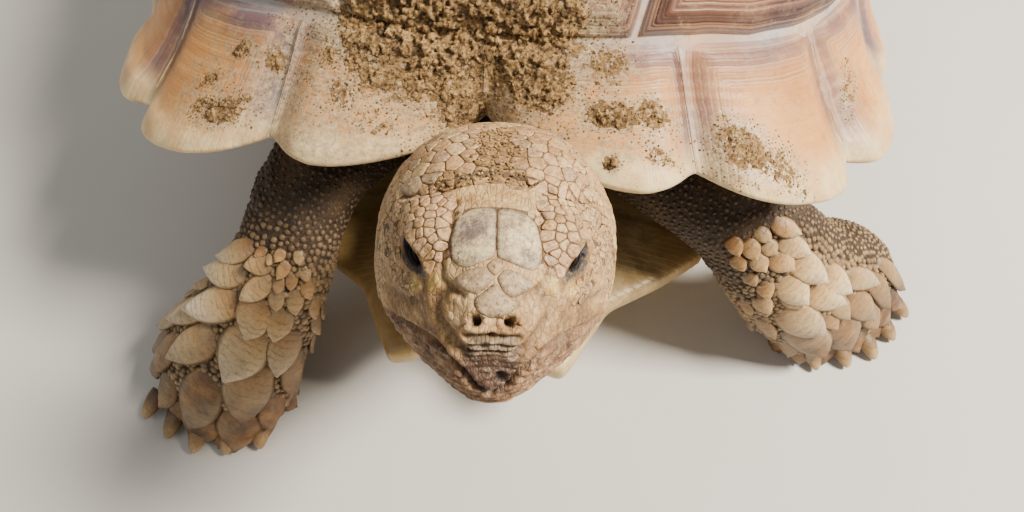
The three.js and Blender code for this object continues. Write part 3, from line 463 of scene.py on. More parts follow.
def outline_distance(points, outline):
    """Distance of points of the disc from a closed outline, in millimetres of the shell."""
    best = np.full(len(points), 9.0)
    for start, end in zip(outline, np.roll(outline, -1, 0)):
        d = end - start
        t = np.clip(((points - start) @ d) / max(d @ d, 1e-12), 0, 1)
        best = np.minimum(best, np.hypot(*(points - start - t[:, None] * d).T))
    return best * ARC


SKIRT = 5.0  # how deep the foot of a scute goes into the wall


def upper_plate(mesh, outline, seed):
    """One upper scute: rings of its outline towards the middle, stepped like growth rings."""
    points = refined(outline, 2.6 / ARC)
    points = points + 0.0022 * np.stack([value_noise(np.c_[points, np.full(len(points), k)], .05, seed + k)
                                         for k in (0, 1)], -1)
    centre = points.mean(0)
    radial = points - centre
    tangent = unit(np.roll(points, -1, 0) - np.roll(points, 1, 0))
    across = np.abs(radial[:, 0] * tangent[:, 1] - radial[:, 1] * tangent[:, 0]) * ARC
    across = np.maximum(np.convolve(np.r_[across[-3:], across, across[:3]], np.ones(7) / 7, "valid"), 12)
    depth = across.mean()
    inset = np.concatenate([[0, 0.7, 1.4, 2.2, 3.2], np.linspace(4.4, depth * .96, int(depth / 1.35))])
    at = np.array([points * s + centre * (1 - s) for s in 1 - inset / depth])
    inset = outline_distance(at.reshape(-1, 2), points).reshape(at.shape[:2])
    step = .35 * (1 - inset / 8.5 % 1) ** 2 * smooth(3, 9, inset)
    height = scute_height(inset, 1 - inset / inset.max()) + step
    skirt = on_disc(points, np.full(len(points), -SKIRT))
    rings = np.concatenate([skirt[None], on_disc(at, height)])
    base, tip = on_disc(centre[None], [-SKIRT]), on_disc(centre[None], height[-1:].mean(1))
    middle = outline_distance(centre[None], points)[0]
    mesh.add(np.concatenate([rings.reshape(-1, 3), base, tip]), closed_grid(*rings.shape[:2]),
             inset=np.concatenate([inset[0], inset.ravel(), [0, middle]]))


def marginal_plate(mesh, start, end, side, first=False):
    """One marginal: its upper face, rounded rim and underside, as a bent block with open shoulders."""
    width = abs(end - start) * RIM_LENGTH
    columns = max(18, int(width / 1.6))
    c = np.linspace(-1, 1, columns)
    c = .35 * np.sin(c * math.pi / 2) + .65 * c
    way = (start + end) / 2 + c * ((end - start) / 2 + .2 / RIM_LENGTH)
    top = SHELL["marginals"] + 0.004
    inset = (1 - np.abs(c)) * width / 2
    swell = 2.9 * smooth(1, 15, inset) - .9 + 1.2 * hump(inset, 1.5)
    rim_radius = (3.4 - 0.9 * smooth(4, 0, inset))[:, None]
    rhos = np.concatenate([[top], np.linspace(top + .006, .975, 46)])
    rings = []
    for rho in rhos:
        down = (rho - top) * ARC
        terrace = .3 * (1 - down / 5.2 % 1) ** 2 * smooth(3, 8, down) * smooth(46, 22, down)
        height = -1.6 + (swell + 1.6) * smooth(0, 9, down + 2.0) - .5 * smooth(.93, .99, rho) + terrace
        rings.append(over_shell(way, np.full(columns, rho), height))
    tip = shell_point(way, np.ones(columns))
    out = unit(tip - shell_point(way, np.full(columns, .97)))
    normal = shell_normal(way, np.ones(columns))
    centre = tip - out * rim_radius + normal * (height[:, None] - rim_radius)
    for phi in np.linspace(.12, 1, 8) * math.pi:
        rings.append(centre + normal * (rim_radius * math.cos(phi)) + out * (rim_radius * math.sin(phi)))
    for rho in np.linspace(.955, top, 8):
        depth = 5.4 + 2.5 * smooth(.96, .85, rho)
        rings.append(over_shell(way, np.full(columns, rho), np.full(columns, -depth)))
    hidden = len(rings) - len(rhos)
    from_top = np.concatenate([(rhos - top) * ARC, np.full(hidden, 60)])
    edge = np.concatenate([smooth(.93, 1, rhos), np.ones(hidden)])
    # Growth starts at the front lower corner. The first marginal's lies beyond the notch.
    more = 60 * first
    ahead = (1 + side * c) * width / 2 + more
    band = np.minimum(ahead, (width + more - ahead) * 2.2 + 2)
    grown = np.minimum(band[:, None] + 0 * from_top[None], from_top[None] + 1.5)
    # Rings run round the block's section, so that both shoulders close with a fan.
    section = np.array(rings).transpose(1, 0, 2)
    mesh.add(with_ends(section), closed_grid(columns, len(rings)), inset=np.append(grown.ravel(), [0, 0]),
             edge=np.append(np.repeat(edge[None], columns, 0).ravel(), [1, 1]))


def shell_core(mesh):
    """The wall under the plates, whose upper face shows in the seams."""
    count = 360
    ways = np.linspace(-1, 1, count + 1)[:-1]
    outer = np.concatenate([[.02], np.linspace(.05, .985, 76)])
    inner = np.linspace(.985, .03, 26)
    depths = np.concatenate([1 + 1.6 * smooth(.86, .95, outer), SHELL["wall"] - 5.5 * smooth(.9, 1, inner)])
    rings = [over_shell(ways, np.full(count, rho), np.full(count, -depth))
             for rho, depth in zip(np.concatenate([outer, inner]), depths)]
    poles = [shell_point(0, 0) - [0, 0, 1.0], shell_point(0, 0) - [0, 0, SHELL["wall"]]]
    mesh.add(np.concatenate([np.concatenate(rings), poles]), closed_grid(len(rings), count))


# ---------------- materials

def linear(hex_colour):
    """An sRGB hex colour as linear RGBA."""
    channels = [int(hex_colour[i:i + 2], 16) / 255 for i in (1, 3, 5)]
    return (*[c / 12.92 if c <= .04045 else ((c + .055) / 1.055) ** 2.4 for c in channels], 1)


def feed(tree, socket, value):
    """Links a socket to another, or gives it a value of its own."""
    if isinstance(value, bpy.types.NodeSocket):
        tree.links.new(value, socket)
    else:
        socket.default_value = value


def node(tree, kind, inputs=None, stops=None, **settings):
    """Adds a node with its settings, input values or links by name or number, and ramp stops."""
    new = tree.nodes.new(kind)
    for key, value in settings.items():
        setattr(new, key, value)
    for key, value in (inputs or {}).items():
        feed(tree, new.inputs[key], value)
    if stops:
        elements = new.color_ramp.elements
        while len(elements) < len(stops):
            elements.new(.5)
        for element, (position, colour) in zip(elements, stops):
            element.position = position
            element.color = linear(colour) if isinstance(colour, str) else (colour, colour, colour, 1)
    return new


class Paint:
    """A material in the making, with short helpers for what its colours are made of."""

    def __init__(self, name):
        self.material = bpy.data.materials.new(name)
        self.material.use_nodes = True
        self.tree = self.material.node_tree
        self.tree.nodes.clear()
        self.shader = self.tree.nodes.new("ShaderNodeBsdfPrincipled")
        output = self.tree.nodes.new("ShaderNodeOutputMaterial")
        self.tree.links.new(self.shader.outputs[0], output.inputs[0])
        self.coordinates = self.tree.nodes.new("ShaderNodeTexCoord").outputs["Object"]

    def value(self, name):
        """An attribute of the mesh."""
        return node(self.tree, "ShaderNodeAttribute", attribute_name=name).outputs["Fac"]

    def maths(self, operation, *terms, clamp=False):
        return node(self.tree, "ShaderNodeMath", dict(enumerate(terms)), operation=operation,
                    use_clamp=clamp).outputs[0]

    def times(self, a, b):
        return self.maths("MULTIPLY", a, b)

    def plus(self, a, b, clamp=False):
        return self.maths("ADD", a, b, clamp=clamp)

    def noise(self, millimetres, detail=3.0, rough=.55, warp=0.0):
        return node(self.tree, "ShaderNodeTexNoise", {"Vector": self.coordinates, "Scale": 1000 / millimetres,
                    "Detail": detail, "Roughness": rough, "Distortion": warp}).outputs["Fac"]

    def steps(self, place):
        """A tone of its own for each whole number."""
        return node(self.tree, "ShaderNodeTexWhiteNoise", {"W": self.maths("FLOOR", place)},
                    noise_dimensions="1D").outputs[0]

    def sway(self, amount, noise):
        """Noise to either side of nothing."""
        return self.times(self.maths("SUBTRACT", self.noise(*noise), .5), amount)

    def patchy(self, noise, amount, base):
        """A base with noise on top of it."""
        return self.plus(self.times(self.noise(*noise), amount), base)

    def ramp(self, factor, stops):
        return node(self.tree, "ShaderNodeValToRGB", {0: factor}, stops).outputs[0]

    def mottle(self, noise, stops):
        """Noise seen through a ramp."""
        return self.ramp(self.noise(*noise), stops)

    def spots(self, colour, noise, start, full, amount, spot):
        """Spots of another colour where noise passes from start to full, which may be the lower."""
        share = self.mottle(noise, sorted([(start, 0.0), (full, 1.0)]))
        return self.blend(self.times(share, amount), colour, spot)

    def blend(self, factor, a, b):
        """From a to b, which may be a hex colour."""
        b = linear(b) if isinstance(b, str) else b
        return node(self.tree, "ShaderNodeMix", {0: factor, 6: a, 7: b}, data_type="RGBA").outputs[2]

    def done(self, colour, height, roughness, strength=.5, depth=.001, ior=None, specular=None):
        """Gives the shader its colour, its roughness and a bump of a real depth."""
        bump = node(self.tree, "ShaderNodeBump", {"Strength": strength, "Distance": depth, "Height": height})
        chosen = {"Base Color": colour, "Roughness": roughness, "Normal": bump.outputs[0], "IOR": ior,
                  "Specular IOR Level": specular}
        for name, value in chosen.items():
            if value is not None:
                feed(self.tree, self.shader.inputs[name], value)
        return self.material


# Soil that dried on the horn: dull, crumbly, with no gloss at all.
SOIL = [(.34, "#332312"), (.44, "#684d2d"), (.55, "#937347"), (.68, "#bd9d6c")]
RING_GAP, HAIR_GAP = 2.6, .85  # mm between growth rings, and between the fine lines in them

# Horn of the upper scutes, ringed dark, and of the rim, paler and worn smoother. Zones run in from the seam
# and fades are how far the rings still show in the worn middle.
UPPER_HORN = dict(
    wobble=2.6, zone_reach=60.0, dark="#2c1b20", pale="#d6b386", blotch=.3, fades=(.62, .42), lines=.72,
    hairs=.6, bright=.26, groove=.5, zones=[
        (0, "#a39c9b"), (.03, "#8a8180"), (.05, "#58434a"), (.075, "#33232b"), (.1, "#805a55"),
        (.125, "#37262c"), (.16, "#8e5f50"), (.19, "#452d2e"), (.22, "#9d6a4c"), (.26, "#6b4430"),
        (.32, "#bf7b42"), (.5, "#cf8541"), (.75, "#d38c45"), (1, "#a96a31")])
RIM_HORN = dict(
    wobble=5.0, zone_reach=40.0, dark="#7a4a36", pale="#f0d09a", blotch=.5, fades=(.45, .25), lines=.3,
    hairs=.28, bright=.2, groove=.22, zones=[
        (0, "#b3acaa"), (.05, "#948c90"), (.1, "#766a73"), (.17, "#6b5b65"), (.24, "#8a706d"),
        (.31, "#bd8862"), (.5, "#d89450"), (.75, "#e2a058"), (1, "#dd9a52")])


def horn_material(name, look):
    """Keratin horn of the scutes, grown in rings: worn, dry, with a dull sheen."""
    m = Paint(name)
    inset = m.plus(m.value("inset"), m.sway(look["wobble"], [26, 3.0]))
    ring_place = m.times(inset, 1 / RING_GAP)
    ring_tone, hair_tone = m.steps(ring_place), m.steps(m.times(inset, 1 / HAIR_GAP))
    fine, grain = m.noise(2.2, 4.0, .7), m.noise(.8, 2.0, .6)
    zone = m.ramp(m.maths("DIVIDE", inset, look["zone_reach"]), look["zones"])
    blotch = m.times(m.mottle([34, 4.0], [(.42, 0.0), (.62, 1.0)]), look["blotch"])
    zone = m.blend(blotch, zone, m.mottle([48, 3.0], [(.36, "#ab7440"), (.5, "#d08f4c"), (.64, "#edb66c")]))
    fade = m.ramp(m.maths("DIVIDE", inset, 60.0),
                  [(0, .35), (.09, 1.0), (.3, .9), (.42, look["fades"][0]), (1, look["fades"][1])])
    for tone, stops, amount, colour in (
            (ring_tone, [(0, 0.0), (.5, .1), (1, 1.0)], look["lines"], look["dark"]),
            (hair_tone, [(0, 0.0), (.6, .1), (1, 1.0)], look["hairs"], look["dark"]),
            (hair_tone, [(0, 1.0), (.22, 0.0)], look["bright"], look["pale"])):
        zone = m.blend(m.times(m.times(m.ramp(tone, stops), fade), amount), zone, colour)
    zone = m.spots(zone, [9, 6.0, .75], .5, .66, .16, look["pale"])
    zone = m.spots(zone, [5, 6.0, .8], .47, .36, .38, "#7a5d42")
    if look is RIM_HORN:
        rim = m.times(m.value("edge"), m.mottle([14], [(.3, .5), (.6, 1.0)]))
        zone = m.blend(rim, zone, m.mottle([10], [(.35, "#dab982"), (.7, "#f6e2ae")]))
    crumbs = m.noise(2.2, 6.0, .8)
    soil = m.ramp(m.plus(m.value("mud"), m.sway(3.2, [2.8, 6.0, .8])), [(.62, 0.0), (.72, 1.0)])
    dust = m.ramp(m.plus(m.value("dust"), m.sway(3.0, [4.5, 6.0, .85])), [(.25, 0.0), (.9, .85)])
    dusty = m.mottle([1.8, 6.0, .85], [(.36, "#6b5438"), (.47, "#a08a6a"), (.62, "#c9b795")])
    zone = m.blend(dust, zone, dusty)
    colour = m.blend(soil, zone, m.ramp(crumbs, SOIL))
    groove = m.ramp(m.maths("FRACT", ring_place), [(0, 0.0), (.22, .8), (.8, 1.0), (1, 0.0)])
    relief = m.plus(m.times(m.times(groove, fade), look["groove"]), m.times(hair_tone, .12))
    relief = m.plus(relief, m.plus(m.times(fine, .4), m.times(grain, .15)))
    relief = m.plus(relief, m.times(m.times(soil, crumbs), 3.0))
    rough = m.plus(m.plus(m.times(soil, .45), m.times(fine, .25)), .32, clamp=True)
    return m.done(colour, relief, rough, .55, .0008, ior=1.54, specular=.38)


def floor_material():
    """A painted studio floor, even and without gloss."""
    m = Paint("pale_matte_floor")
    return m.done(m.mottle([200], [(.3, "#c9c6c0"), (.7, "#cfccc6")]), m.noise(1.5), .85, .05)


# ---------------- camera, light and floor

FOCAL, PICTURE_WIDTH, SENSOR = 850, 1024, 36  # in pixels, pixels and mm
CAMERA_PLACE, CAMERA_AZIMUTH, CAMERA_ELEVATION = (33.3, -417.4, 408.1), 6.1, 58.55
LIT_PLACE = Vector((0, -.1, .1))  # what the lamps look at
# A soft key from the animal's left, a wide fill and a light from behind: where, size, power and colour.
LAMPS = {"key": ((.95, -.2, 1.25), .4, 68, (1, .92, .8)),
         "fill": ((-1.0, -1.0, 1.2), 1.5, 6.5, (1, .98, .95)),
         "back": ((-.3, 1.3, 1.1), 1.3, 7, (1, .97, .92))}


def set_stage():
    camera = bpy.data.cameras.new("camera")
    camera.sensor_width, camera.lens, camera.clip_start = SENSOR, SENSOR * FOCAL / PICTURE_WIDTH, 0.01
    view = linked("camera", camera)
    a, e = math.radians(CAMERA_AZIMUTH), math.radians(CAMERA_ELEVATION)
    back = Vector((math.sin(a) * math.cos(e), -math.cos(a) * math.cos(e), math.sin(e)))
    right = Vector((math.cos(a), math.sin(a), 0))
    axes = Matrix((right, back.cross(right), back)).transposed().to_4x4()
    view.matrix_world = Matrix.Translation(Vector(place(CAMERA_PLACE))) @ axes
    bpy.context.scene.camera = view
    for name, (where, size, power, colour) in LAMPS.items():
        lamp = bpy.data.lights.new(name, "AREA")
        lamp.size, lamp.energy, lamp.color = size, power, colour
        holder = linked(name, lamp)
        holder.location = where
        holder.rotation_euler = (LIT_PLACE - Vector(where)).to_track_quat("-Z", "Y").to_euler()
    world = bpy.data.worlds.new("studio")
    world.use_nodes = True
    sky = world.node_tree.nodes["Background"].inputs
    sky[0].default_value, sky[1].default_value = (1, .98, .95, 1), .2
    bpy.context.scene.world = world
    mesh = bpy.data.meshes.new("floor")
    mesh.from_pydata([(-6, -6, 0), (6, -6, 0), (6, 6, 0), (-6, 6, 0)], [], [(0, 1, 2, 3)])
    floor = linked("floor", mesh)
    mesh.materials.append(floor_material())


# ---------------- limbs, neck and tail as tubes

def spline(stations, t):
    """Points and tangents of a centripetal curve through stations, t from 0 to 1."""
    p = np.array([s[:3] for s in stations], float)
    n = len(p)
    full = np.concatenate([[2 * p[0] - p[1]], p, [2 * p[-1] - p[-2]]])

    def at(t):
        place_on = np.clip(t, 0, 1) * (n - 1)
        i = np.minimum(place_on.astype(int), n - 2)
        w = (place_on - i)[..., None]
        p0, p1, p2, p3 = (full[i + k] for k in range(4))
        d0, d1, d2 = [np.sqrt(np.linalg.norm(step, axis=-1, keepdims=True))
                      for step in (p1 - p0, p2 - p1, p3 - p2)]
        m1 = ((p1 - p0) / d0 - (p2 - p0) / (d0 + d1) + (p2 - p1) / d1) * d1
        m2 = ((p2 - p1) / d1 - (p3 - p1) / (d1 + d2) + (p3 - p2) / d2) * d1
        return (p1 * (2 * w**3 - 3 * w**2 + 1) + m1 * (w**3 - 2 * w**2 + w)
                + p2 * (3 * w**2 - 2 * w**3) + m2 * (w**3 - w**2))

    t = np.asarray(t, float)
    return at(t), unit(at(np.minimum(t + 1e-3, 1)) - at(np.maximum(t - 1e-3, 0)))


def rounded(x, power):
    """A sine or cosine raised to a power, with its own sign."""
    return np.sign(x) * np.abs(x) ** power


class Tube:
    """A limb: points and normals by share along it and turn round it. Turn 0 is its broad front."""

    def __init__(self, stations, facing, squareness=2.2, toes=None):
        self.stations, self.facing, self.power, self.toes = stations, facing, 2 / squareness, toes
        count = len(stations) - 1
        self.half_width = [[i / count, s[3]] for i, s in enumerate(stations)]
        self.half_depth = [[i / count, s[4]] for i, s in enumerate(stations)]
        fine = spline(stations, np.linspace(0, 1, 201))[0]
        self.length = np.linalg.norm(np.diff(fine, axis=0), axis=1).sum()

    def frame(self, t):
        centre, tangent = spline(self.stations, t)
        facing = np.array(self.facing, float)
        front = unit(facing - tangent * (tangent @ facing)[..., None])
        return centre, tangent, front, np.cross(tangent, front)

    def point(self, t, turn, grow=0.0):
        t, turn, grow = np.broadcast_arrays(np.asarray(t, float), turn, grow)
        centre, _, front, aside = self.frame(t)
        c, s = rounded(np.cos(turn), self.power), rounded(np.sin(turn), self.power)
        return (centre + front * ((curve(self.half_depth, t) + grow) * c)[..., None]
                + aside * ((curve(self.half_width, t) + grow) * s)[..., None])

    def normal(self, t, turn):
        t, turn = np.broadcast_arrays(np.asarray(t, float), turn)
        along = self.point(np.minimum(t + .01, 1), turn) - self.point(np.maximum(t - .01, 0), turn)
        across = self.point(t, turn + .03) - self.point(t, turn - .03)
        n = unit(np.cross(along, across))
        flip = ((self.point(t, turn) - self.frame(t)[0]) * n).sum(-1) < 0
        return np.where(flip[..., None], -n, n)


TUBES = {name: Tube(**sizes) for name, sizes in LIMBS.items()}


def tube_grid(name):
    """Grid of points of a limb's skin down to its sole, with its share along and turn."""
    tube = TUBES[name]
    rows, columns, folds = LIMB_GRIDS[name]
    turn = turned(columns)
    end = np.ones(columns)
    if "leg" in name:
        fine = np.linspace(.5, 1, 201)
        z = tube.point(fine[:, None], turn[None], -COAT_DEPTH)[..., 2]
        end = np.array([np.interp(0, z[::-1, k], fine[::-1]) for k in range(columns)])
    t = np.linspace(0, 1, rows)[:, None] * end
    turn = np.repeat(turn[None], rows, 0)
    p = tube.point(t, turn, -COAT_DEPTH)
    p = p + tube.normal(t, turn) * folds(t, turn, p)[..., None]
    if "leg" in name:
        p[..., :2] += (tube.frame(t)[0] - p)[..., :2] * (.05 * smooth(7, 0, p[..., 2]))[..., None]
        p[..., 2] = np.maximum(p[..., 2], 0)
        p[-1, :, 2] = 0
    return p, t, turn


def limb_folds(t, turn, p):
    """Loose wrinkles, deepest behind the elbow or knee."""
    wrinkle = np.abs(fractal(p * [1, 1, 2.4], 16, 3)) - .3
    return wrinkle * (.5 + 1.3 * hump(t - .34, .14)) + .35 * value_noise(p, 4, 5)


def neck_folds(t, turn, p):
    """Rings of slack skin across the neck, and lengthwise pleats under it."""
    rings = (np.sin(t * 46 + 2.2 * value_noise(p, 22, 2)) - .6) * 1.4
    pleats = np.abs(np.sin(turn * 9 + 1.5 * value_noise(p, 30, 6))) * 1.5 * smooth(.2, -.5, np.cos(turn))
    return rings * smooth(.1, .35, t) + pleats - .5 + .4 * fractal(p, 5, 8)


def tail_folds(t, turn, p):
    return .4 * value_noise(p, 5, 4)


# Rows and columns of the skin of each limb, with its folds.
LIMB_GRIDS = {"foreleg_right": (84, 76, limb_folds), "foreleg_left": (84, 76, limb_folds),
              "hind_leg_right": (60, 64, limb_folds), "hind_leg_left": (60, 64, limb_folds),
              "neck": (96, 100, neck_folds), "tail": (44, 36, tail_folds)}


# ---------------- head

HEAD_TO_BODY = (Matrix.Translation(HEAD_CENTRE) @ Matrix.Rotation(math.radians(HEAD_YAW), 4, "Z")
                @ Matrix.Rotation(-math.radians(HEAD_PITCH), 4, "X")
                @ Matrix.Rotation(math.radians(HEAD_ROLL), 4, "Y") @ Matrix.Scale(HEAD_SCALE, 4))
HEAD_MATRIX = np.array(HEAD_TO_BODY)


def from_head(p):
    """From the head's own frame, where it is 80 mm wide, to the animal's, where it is 75 mm."""
    return np.asarray(p) @ HEAD_MATRIX[:3, :3].T + HEAD_MATRIX[:3, 3]


def head_surface(forward, turn):
    """Plain form of the head. The turn runs from its left side over the top."""
    f = np.clip(forward, NAPE_ROUND, SNOUT_ROUND)
    closing = np.sqrt(np.maximum(1 - ((forward - f) / np.where(forward > 0, SNOUT - SNOUT_ROUND,
                                                               NAPE_ROUND - NAPE)) ** 2, 0))
    middle = curve(HEAD_WIDEST, f)
    c, s = np.cos(turn), np.sin(turn)
    reach = np.where(s > 0, curve(HEAD_TOP, f) - middle, middle - curve(HEAD_BOTTOM, f)) * closing
    width = curve(HEAD_WIDTH, f) * closing
    power = 2 / HEAD_SQUARENESS
    width = width * (1 - .12 * smooth(0, -.75, s) * smooth(-5, 22, f))
    return np.stack([width * rounded(c, power), -forward, middle + reach * rounded(s, power)], -1)


def grid_normals(p):
    """Outward normals of a grid whose columns close round."""
    along = np.gradient(p, axis=0)
    across = np.roll(p, -1, 1) - np.roll(p, 1, 1)
    n = unit(np.cross(across, along))
    centre = p.mean(axis=1, keepdims=True)
    return np.where((((p - centre) * n).sum(-1) < 0)[..., None], -n, n)


def swell_to(p, n, centre, axes, radii, softness=1.5):
    """How far each point moves out along its normal to wrap a rounded form inside the skin."""
    q, m = (p - centre) @ axes.T / radii, n @ axes.T / radii
    a, b, c = (m * m).sum(-1), (q * m).sum(-1), (q * q).sum(-1) - 1
    inside = b * b - a * c
    s = np.where(inside > 0, (-b + np.sqrt(np.maximum(inside, 0))) / a, -20)
    return np.clip(.5 * (s + np.sqrt(s * s + softness**2)) - .04, 0, 14)


def eye_frame(side):
    mirror = np.array([side, 1, 1])
    look = unit(np.array(EYE_LOOK) * mirror)
    slant = np.array(EYE_SLANT) * mirror
    along = unit(slant - look * (slant @ look))
    return np.array(EYE_CENTRE) * mirror, look, along, np.cross(look, along) * side


def line_distance(p, line):
    """Distance of points from a chain of straight lengths, and the share of the way along it."""
    line = np.array(line, float)
    best, where = np.full(p.shape[:-1], 1e9), np.zeros(p.shape[:-1])
    for k, (a, b) in enumerate(zip(line[:-1], line[1:])):
        d = b - a
        t = np.clip(((p - a) @ d) / (d @ d), 0, 1)
        gap = np.linalg.norm(p - (a + t[..., None] * d), axis=-1)
        near = gap < best
        best, where = np.where(near, gap, best), np.where(near, (k + t) / (len(line) - 1), where)
    return best, where


def mirrored(line):
    return [line, [(-x, y, z) for x, y, z in line]]


def apart(p, centre, sizes=1):
    """How far points lie from a centre, in sizes of its own along each axis."""
    return np.linalg.norm((p - np.asarray(centre)) / sizes, axis=-1)


# Grooves of the head as chains of points on its surface, with a width and a depth.
HEAD_GROOVES = {
    "crown_fold": ([(0, -5.1, 32.3), (8, -5.5, 31.5), (14, -6.5, 30), (20, -6, 27), (25, -3.5, 24.5),
        (28.5, 0, 22)], .9, 1.1),
    "beside_muzzle": ([(11.8, -12, 29.5), (12.2, -15, 28.7), (12.8, -20.5, 26.7), (13.7, -24.2, 24.4),
        (14.7, -28.3, 21.4), (13.8, -32.7, 18.8), (10.9, -35.6, 18.6), (8.3, -38, 18.4)], 1.0, .85),
    "beside_nose": ([(12, -35.3, 18.1), (15.6, -35.7, 14.3), (15, -38.2, 10.9), (11.3, -42.8, 8.4),
        (7.6, -46.5, 7)], 1.7, 1.1),
    "under_nostrils": ([(0, -46.2, 12), (4, -45.5, 11), (7, -45.6, 10.9)], .75, 1.5),
    "lip_crease": ([(0, -46.8, 9.4), (3.5, -46.7, 9.1), (6, -46.3, 8.6)], .45, .8),
    "lower_lip_crease": ([(0, -47.2, 7.3), (3.5, -47, 7), (6, -46.6, 6.6)], .45, .8),
    "cheek_fold": ([(22, -31, 9), (27, -25, 5), (31, -17, 1), (34, -8, -3)], 1.6, .9),
    "eye_fold": ([(20, -34, 13), (25.5, -28, 11), (29.5, -20, 11), (31.5, -12, 13)], 1.2, .9),
    "temple_fold": ([(31, -6, 17), (32, 2, 14), (34, 12, 8)], 1.5, .9),
}
BEAK_EDGE = [(0, -48.3, -7.5), (4, -48, -5.5), (7.1, -47.1, -1), (10.8, -45.1, 2.2), (13.5, -42.2, 3),
             (19, -36.7, 2), (24.9, -29.8, -1), (29.5, -23.8, -4.5), (34.7, -14.6, -9.4), (36.5, -7, -12)]
# Markings of the head: bare is the place round eyes and nostrils where no plate grows. dark is painted shade
# in the grooves, creases, nostrils and mouth line, and slit is the eye opening painted near black as painted
# shade.
HEAD_MASKS = ("lid", "yellow", "beak", "jaw", "band", "dark", "pale", "slit", "bare")


